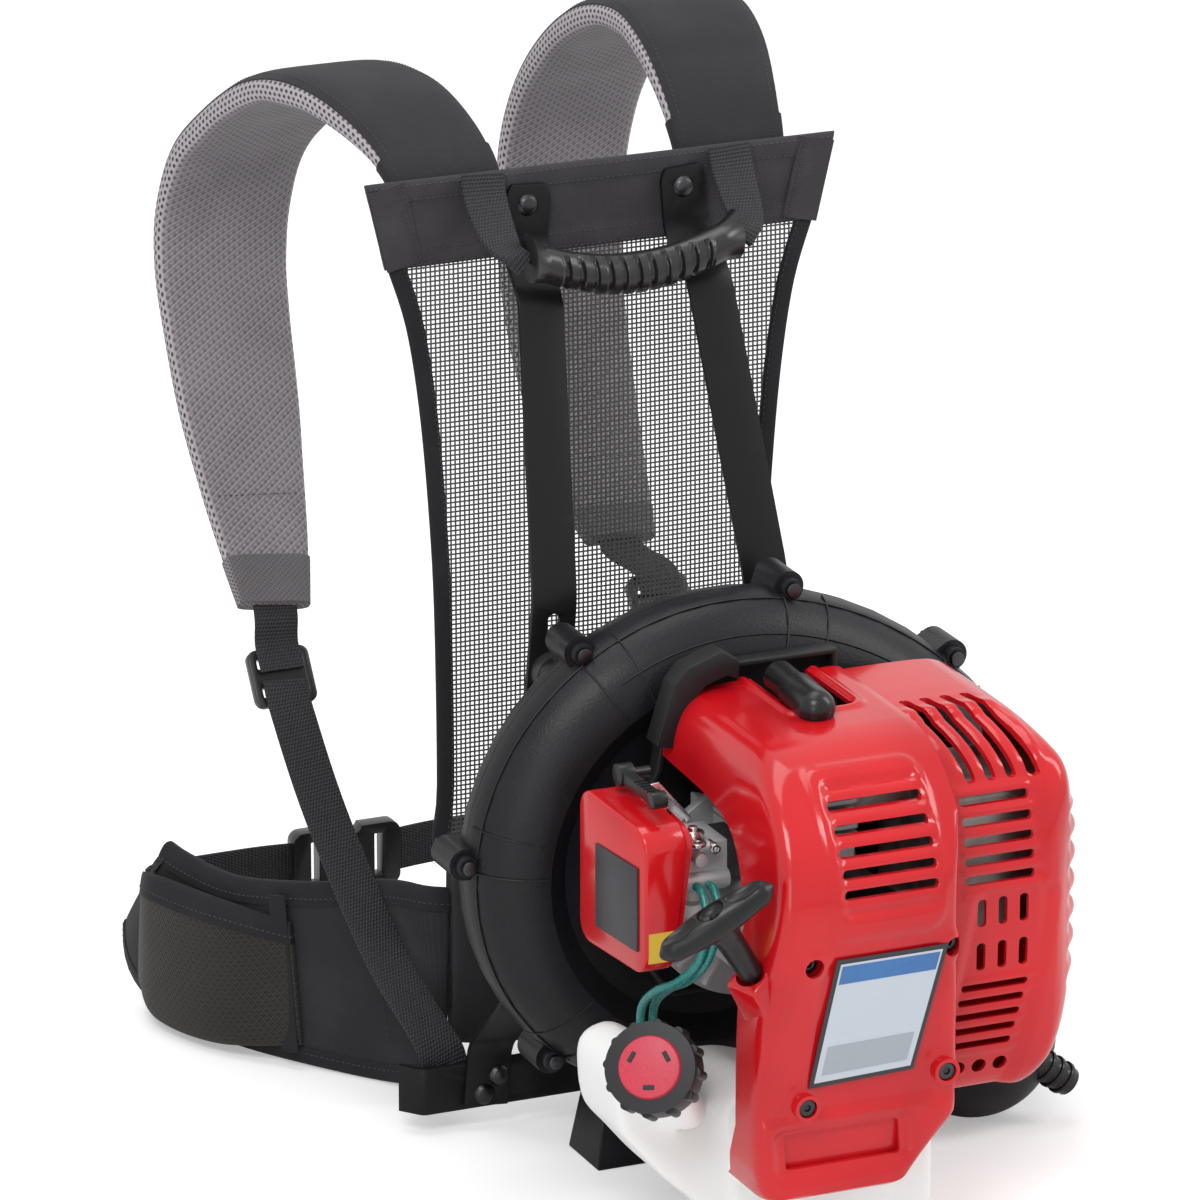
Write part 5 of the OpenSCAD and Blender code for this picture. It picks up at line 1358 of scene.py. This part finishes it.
LOBE_PLAN = [(-8, 100), (-8, 298), (118, 298), (129, 293), (139, 283), (147, 270), (152, 254), (154, 230),
             (154, 100)]
COVER_BITE = [(46, 332.5), (50, 328.6), (55, 324), (59, 318), (62, 311), (74, 300), (132, 300), (132, 340),
              (46, 340)]
SCREWS = [(-24, 182), (-24, 104), (54, 182), (54, 112)]


def plan_outline(left, right, front, corner):
    """Plan of a cover as x, -y, with its front corners rounded."""
    line = [(left, 100), (left, front - corner)]
    line += [(left + corner * (1 - math.cos(t * TURN / 32)), front - corner * (1 - math.sin(t * TURN / 32)))
             for t in range(1, 8)]
    line += [(left + corner, front), (right - corner, front)]
    line += [(right - corner * (1 - math.sin(t * TURN / 32)), front - corner * (1 - math.cos(t * TURN / 32)))
             for t in range(1, 8)]
    return np.array(line + [(right, front - corner), (right, 100)])


def cover_form(side, front, plan, soft, bite=None):
    """How far a point lies outside the cover whose side, front and plan are given."""
    side, front = chaikin(side), chaikin(front)

    def distance(x, y, z):
        reach = soft_max(reach_outside(y, z, side), reach_outside(x, z, front), soft)
        reach = soft_max(reach, reach_outside(x, -y, plan), soft)
        # the cover falls back beside the seam with the lobe
        return reach if bite is None else soft_max(reach, -reach_outside(x, -y, bite), 3.0)
    return distance


def slot_cutters(boxes, round_by):
    """One mesh of rounded boxes to cut with."""
    made = []
    for low, high in boxes:
        cutter = block("cutter", low, high)
        small = min(abs(b - a) for a, b in zip(low, high))
        modify(cutter, "BEVEL", width=min(round_by, small * 0.46) * MM, segments=3)
        made.append(cutter)
    return join(made)


def instruction_plate():
    """Blank plate on the front of the engine cover: a pale face, a dark border and a plain band."""
    corners = [(-9.9, 182.5), (46.9, 182.6), (34.9, 117.1), (-18.8, 115.3)]

    def face_at(x, z, lift):
        depth = float(np.interp(z, (106, 146, 186, 208), (-311, -318.2, -325.4, -328)))
        return at(x, depth - 0.9 - lift, z)

    def sheet(name, share_u, share_v, lift, look):
        (ax, az), (bx, bz), (cx, cz), (dx, dz) = corners
        verts, faces, count = [], [], 10
        for thick in (0.0, 0.5):
            for i in range(count + 1):
                v = share_v[0] + (share_v[1] - share_v[0]) * i / count
                for u in share_u:
                    top, low = ax + (bx - ax) * u, dx + (cx - dx) * u
                    x, z = top + (low - top) * v, (az + (bz - az) * u) * (1 - v) + (dz + (cz - dz) * u) * v
                    verts.append(face_at(x, z, lift + thick))
        half = 2 * (count + 1)
        for i in range(count):
            a = half + 2 * i
            faces.append((a, a + 1, a + 3, a + 2))
            faces += [(a - half, a - half + 2, a + 2, a), (a - half + 1, a + 1, a + 3, a - half + 3)]
        faces += [(0, half, half + 1, 1), (2 * count, 2 * count + 1, half + 2 * count + 1, half + 2 * count)]
        finish(solid_of(name, verts, faces), "cover_red", look)

    sheet("plate_border", (-0.045, 1.045), (-0.04, 1.04), 0.0, "plate_dark")
    sheet("plate_face", (0, 1), (0, 1), 0.3, "plate_pale")
    sheet("plate_band", (0.02, 0.98), (0.02, 0.17), 0.5, "plate_blue")
    sheet("plate_foot", (0.06, 0.94), (0.7, 0.94), 0.5, "plate_grey")


def engine_relief(x, y, z):
    """Panels, louvres, bosses and rims raised on the engine cover."""
    run = z + 0.6 * np.maximum(y + 328, 0)
    raised = panel(x, run, (-14, 196), (48, 300), 9, 2.4) * 2.0
    sunk = panel(x, z, (-8, 207), (46, 267), 5, 2.0) * 3.6
    plate = panel(x, z, (-20, 99), (50, 183), 5, 1.4) * 0.8
    height = raised - sunk - plate
    # louvres between the slots
    for i in range(6):
        height += within(z, 210.5 + 10 * i, 214.8 + 10 * i, 2.0) * within(x, -8, 46, 1.6) * 2.0
    for sx, sz in SCREWS:
        height += within(np.hypot(x - sx, z - sz), -1, 8.5, 3.0) * 1.2
    # a window below the plate, and the fold at the foot of it
    height -= panel(x, z, (-40, 66), (36, 92), 6, 2.0) * 3.0
    height += within(z, 92, 96, 3) * within(x, -46, 44, 4) * 1.2
    # rims of the notch for the plug boot
    notch = panel(x, -y, (5, 150), (49, 231), 8, 2.0) - panel(x, -y, (9, 140), (45, 227), 7, 2.0)
    height += notch * within(z, 268, 300, 6) * 1.6
    return height * (y < -150)


def carburettor_opening():
    """What the engine cover leaves open on its left side."""
    outline = chaikin([(-100, 250), (-190, 245), (-226, 243), (-256, 236), (-276, 212), (-286, 184),
                       (-286, 30), (-100, 30)])
    return prism("side_opening", *([at(x, y, z) for y, z in outline] for x in (-130, -12)))


def engine_cover():
    """The cover with the louvres and the plate."""
    planes = [((61.8, 0, 0), (1, 0, 0)), ((0, -165.9, 0), (0, 1, 0)), ((0, 0, 55), (0, 0, -1))]
    plan = plan_outline(-52, 122, 330, 22)
    form = cover_form(COVER_SIDE, COVER_FRONT, plan, SKIN_CORNER, np.array(COVER_BITE))
    cover = shell_skin("engine_cover_shell", (15, -140, 165), ((-1.5, -0.95), (1.25, 1.5)), SKIN_STEP, form,
                       engine_relief, planes)
    boxes = [((-7, -345, 215.4 + 10 * i), (45, -250, 220.4 + 10 * i)) for i in range(5)]
    boxes += [((-34, -345, 70), (30, -300, 88)), ((11, -226, 270), (43, -100, 320))]
    cut(cover, slot_cutters(boxes, 2.0))
    for sx, sz in SCREWS:
        cut(cover, turned("recess", at(sx, -345, sz), at(sx, -300, sz), 5.2, sides=28))
    cut(cover, carburettor_opening())
    settle(smooth(cover, 32), "engine_cover")


def screw_sleeves():
    """The sleeves that the cover's screws stand in, behind their recesses."""
    for k, (sx, sz) in enumerate(SCREWS):
        sleeve = turned("screw_sleeve_%d" % (k + 1), at(sx, -319, sz), at(sx, -302, sz), 7.0)
        cut(sleeve, turned("bore", at(sx, -330, sz), at(sx, -314, sz), 5.0))
        finish(smooth(sleeve, 30), "cover_red")


def shroud_rim():
    """The shroud's rim, standing out round the cover's upper left edge."""
    rim = [(-45.7, 255.7), (-36, 287.4), (-28.7, 295.8), (-9.2, 302.5), (0.6, 296.5)]
    inner = [(-33, 252), (-25, 278), (-18, 285), (-6, 289), (0.6, 286)]
    verts = [at(x, y, z) for y in (-178, -163) for line in (rim, inner) for x, z in line]
    faces = []
    for i in range(4):
        for a, b in ((0, 5), (5, 15), (15, 10), (10, 0)):
            faces.append((a + i, a + i + 1, b + i + 1, b + i))
    faces += [(0, 5, 15, 10), (4, 14, 19, 9)]
    finish(smooth(round_edges(solid_of("shroud_rim", verts, faces), 0.8, 2, 20), 30), "shroud_plastic")


def rope_spout():
    """Boxy spout of the starter rope, under the parked handle."""
    place = Matrix.Translation(HANDLE_BASE) @ HANDLE_TURN
    spout = turned("rope_spout", off(0, 0, -40), off(0, 0, 1.5), 19.5, 15.5, 4)
    round_edges(turn_into(spout, Matrix.Rotation(math.radians(45), 4, "Z")), 3.0, 3, 40)
    cut(spout, turned("mouth", off(0, 0, -12), off(0, 0, 6), 8.6))
    finish(smooth(turn_into(spout, place), 30), "cover_red")


# How far the lobe's roof slots lean outward for each millimetre that they come forward
ROOF_LEAN = 0.24


def lobe_slant(x, z):
    """Across the lobe in its lower half, whose slots lean outward as they rise."""
    return x - (z - 110) * 0.2


def plate_of(name, corners, deep, slot, holes=(), bevel=0.4):
    """A flat plate: corners as x, y, z in millimetres, deep thick toward +y, with round holes."""
    made = prism(name, [at(*corner) for corner in corners], [at(x, y + deep, z) for x, y, z in corners])
    for x, y, z, radius in holes:
        cut(made, turned("hole", at(x, y - 10, z), at(x, y + 10, z), radius, sides=24))
    finish(smooth(round_edges(made, bevel, 2, 30), 30), slot)


def intake_pieces():
    """The bracket, wedge, shield, screws and rod seen between the air box and the cover."""
    plate_of("throttle_bracket", [(-69, -213, 249), (-60, -213, 250), (-42, -213, 229), (-44, -213, 221),
                                  (-62, -213, 231), (-70, -213, 241)], 1.6, "lever_steel",
             holes=((-60, -213, 240, 2.6), (-47, -213, 227, 1.8)))
    plate_of("port_wedge", [(-24.6, -186, 227), (-17.8, -186, 225.2), (6.1, -186, 197), (5.1, -186, 179),
                            (-24.4, -186, 183.3)], 14, "cast_alloy", bevel=1.2)
    shield = [(-25, 212), (-15.5, 212), (-9.5, 202), (-7.5, 190), (-8.6, 181), (-18.2, 182), (-15.5, 192),
              (-18, 203)]
    plate_of("heat_shield", [(x, -217, z) for x, z in shield], 3, "knob_plastic", bevel=0.8)
    for k, (x, z) in enumerate(((-52.8, 220.8), (-44.2, 223.4))):
        screw = turned("bracket_screw_%d" % (k + 1), at(x, -249, z), at(x, -240, z), 2.8)
        cut(screw, turned("socket", at(x, -252, z), at(x, -246.5, z), 1.3, sides=6))
        finish(smooth(round_edges(screw, 0.4, 2, 40), 35), "lever_steel")
    rod = turned("throttle_rod", at(-66, -236, 243), at(-40, -226, 214), 1.1)
    finish(rod, "lever_steel", "knob_plastic")


def air_box_label():
    """Blank dark plate and yellow patch on the air box."""
    side = block("air_box_plate", (-97.0, -256, 177), (-95.4, -212, 222))
    # the lid's side leans in toward its front, and the plate with it
    for vertex in side.data.vertices:
        vertex.co.x += (at(0, -193, 0).y - vertex.co.y) * 6 / 69
    finish(smooth(round_edges(side, 0.5, 2, 40), 35), "knob_plastic", "plate_dark")
    finish(block("air_box_patch", (-87.7, -263.2, 172.4), (-73, -262.4, 188.5)), "knob_plastic", "plate_yellow")


def engine_stub():
    """Ribbed rubber stub on the right."""
    stub = turned("engine_stub", at(181, -150, 42), at(208, -150, 21), 8.0)
    for k in range(4):
        t = 0.2 + 0.2 * k
        rib = turned("rib", at(181 + 27 * t, -150, 42 - 21 * t), at(183 + 27 * t, -150, 40.4 - 21 * t), 9.4)
        combine(stub, rib)
    finish(smooth(round_edges(stub, 0.5, 2, 40), 35), "boot_rubber")


def box_top(x, y, z):
    """The air box lower than its base's tab, most at its front, and drawn in toward its foot."""
    z = min(z, 256)
    rise = min(1, max(0, (z - 175) / 72))
    front = min(1, max(0, (-y - 200) / 60))
    if x < -90:
        x += 6 * front
    else:
        x -= 7 * (1 - rise)
    return x, y, z - (10 + 5 * front) * rise


LID_MIDDLE_Y, LID_MIDDLE_Z, LID_GROWTH = -227.5, 211, 1.03


def lid_shape(x, y, z):
    """The lid's rim runs on over the edge of the base."""
    rim = 7.5 if x > -80 else 0
    x, y, z = box_top(x, y, z)
    return (x + rim, LID_MIDDLE_Y + (y - LID_MIDDLE_Y) * LID_GROWTH,
            LID_MIDDLE_Z + (z - LID_MIDDLE_Z) * LID_GROWTH)


def foam_fit(x, y, z):
    """The foam, inside the lowered lid."""
    return -82 + (x + 82) * 0.5, y, z - 15 * min(1, max(0, (z - 175) / 72))


def lever_seat(x, y, z):
    """The choke lever, down on the lid."""
    return x, y, z - 9


def muffler_relief(x, y, z):
    """Steps, louvres, bars and scallops raised on the lobe."""
    run = z + 0.6 * np.maximum(y + 297, 0)
    # two steps down from the rim to the slots
    height = -1.3 * panel(x, run, (66, 196), (122, 312), 9, 1.6)
    height -= 1.5 * panel(x, run, (70, 199), (118, 308), 7, 1.6)
    lean = lobe_slant(x, z)
    height -= 1.0 * panel(lean, run, (63, 88), (114, 198), 8, 1.6)
    height -= 1.2 * panel(lean, run, (66, 91), (110, 195), 6, 1.6)
    for i in range(6):
        height += within(z, 195.6 + 10 * i, 199.4 + 10 * i, 2.0) * within(x, 74, 117, 2) * 1.8
        height += within(z, 105.6 + 8 * i, 108.6 + 8 * i, 1.6) * within(lean, 68, 108, 2) * 1.4
    # bars between the roof slots, leaning outward as they come forward
    seat = x + (y + 238) * ROOF_LEAN
    for sx in (70, 81.6, 93, 104.6, 116):
        height += within(seat, sx - 3.4, sx + 3.4, 3.6) * within(run, 268, 316, 6) * (y > -289) * 1.2
    # scalloped side
    side = within(x + 0.35 * (-y - 230), 128, 200, 10) * within(y, -284, -192, 6) * within(z, 130, 232, 5)
    side *= np.clip((x - 138) / 6, 0, 1)
    return (height + side * (3.6 * np.abs(np.sin((z - 135) * math.pi / 15)) - 1.6)) * (y < -150)


def muffler_cover():
    """The slotted lobe over the muffler."""
    planes = [((62.2, 0, 0), (-1, 0, 0)), ((0, -165.9, 0), (0, 1, 0))]
    form = cover_form(LOBE_SIDE, LOBE_FRONT, np.array(LOBE_PLAN), SKIN_CORNER)
    cover = shell_skin("muffler_cover_shell", (98, -140, 175), ((-1.3, -1.5), (1.5, 1.5)), SKIN_STEP, form,
                       muffler_relief, planes)
    boxes = []
    for i in range(5):
        boxes.append(((76, -330, 200 + 10 * i), (115, -255, 205 + 10 * i)))
        boxes.append(((68 + 1.6 * i, -330, 110 + 8 * i), (104 + 2 * i, -265, 114 + 8 * i)))
    boxes += [((x - 2.5, -330, z), (x + 2.5, -265, z + 15)) for x in (85, 97, 109) for z in (153, 177)]
    slots = slot_cutters(boxes, 2.0)
    roof = slot_cutters([((x - 2.8, -288, 250), (x + 2.8, -222, 330)) for x in (76, 87.5, 99, 110.5)], 2.0)
    # the roof slots lean outward as they come forward
    for vertex in roof.data.vertices:
        vertex.co.x -= ROOF_LEAN * (vertex.co.y - at(0, -238, 0).y)
    cut(cover, slots, roof)
    for x in (76, 88, 100):
        cut(cover, turned("vent", at(x, -330, 98), at(x, -262, 98), 4.0, sides=24))
    settle(smooth(cover, 32), "muffler_cover")


# ---- making ------------------------------------------------------------------

add_studio()

shoulder_pad("shoulder_pad_left", PAD_LEFT)
shoulder_pad("shoulder_pad_right", PAD_RIGHT)
hip_wing("hip_wing_left", WING_LEFT, -1)
hip_wing("hip_wing_right", WING_RIGHT, 1)
cushion("lumbar_pad", "lumbar_cushion", smooth_run(LUMBAR, 6))
belt_pocket("belt_pocket_left", WING_LEFT, -1)
belt_pocket("belt_pocket_right", WING_RIGHT, 1)
top_band()
band_ends()
net_panel()
net_binding()
harness_webbing()
carry_grip()
carry_loops()
sew()
starter_handle()
fuel_cap()
fuel_lines()
engine_cover()
screw_sleeves()
shroud_rim()
finish(block("window_floor", (-36, -309, 68), (32, -306, 90)), "cover_red")
instruction_plate()
rope_spout()
muffler_cover()
intake_pieces()
air_box_label()
engine_stub()
housing_details()

# Width of the rounding on the edges of the CAD pieces that are kept
HARD_EDGED = {
    "frame_strap_left": 0.5, "frame_strap_right": 0.5, "base_crossbar": 0.5, "volute_front_shell": 1.2,
    "volute_back_shell": 1.2, "outlet_elbow": 1.0, "housing_feet": 2.5, "engine_shroud": 0.8, "crankcase": 1.0,
    "engine_cylinder": 0.5, "carburetor": 1.0, "insulator_block": 0.8, "muffler": 1.5,
    "starter_housing": 1.2, "waist_buckle": 0.8,
    "adjuster_left": 0.8, "adjuster_right": 0.8, "throttle_lever": 0.3,
    "plug_boot": 0.6, "housing_screws": 0.3, "cover_screws": 0.3, "frame_rivets": 0.0,
}
for node, width in HARD_EDGED.items():
    dress(node, width)
soften("fuel_tank", 1.7, 40, tank_top_drop)
dress("filter_base", 1.2, look="cover_red", reshape=box_top)
dress("filter_cover", 6.0, reshape=lid_shape)
dress("filter_foam", 0.0, reshape=foam_fit)
dress("choke_lever", 0.6, reshape=lever_seat)
bare(*[node for node in NODES if node not in REPLACED])
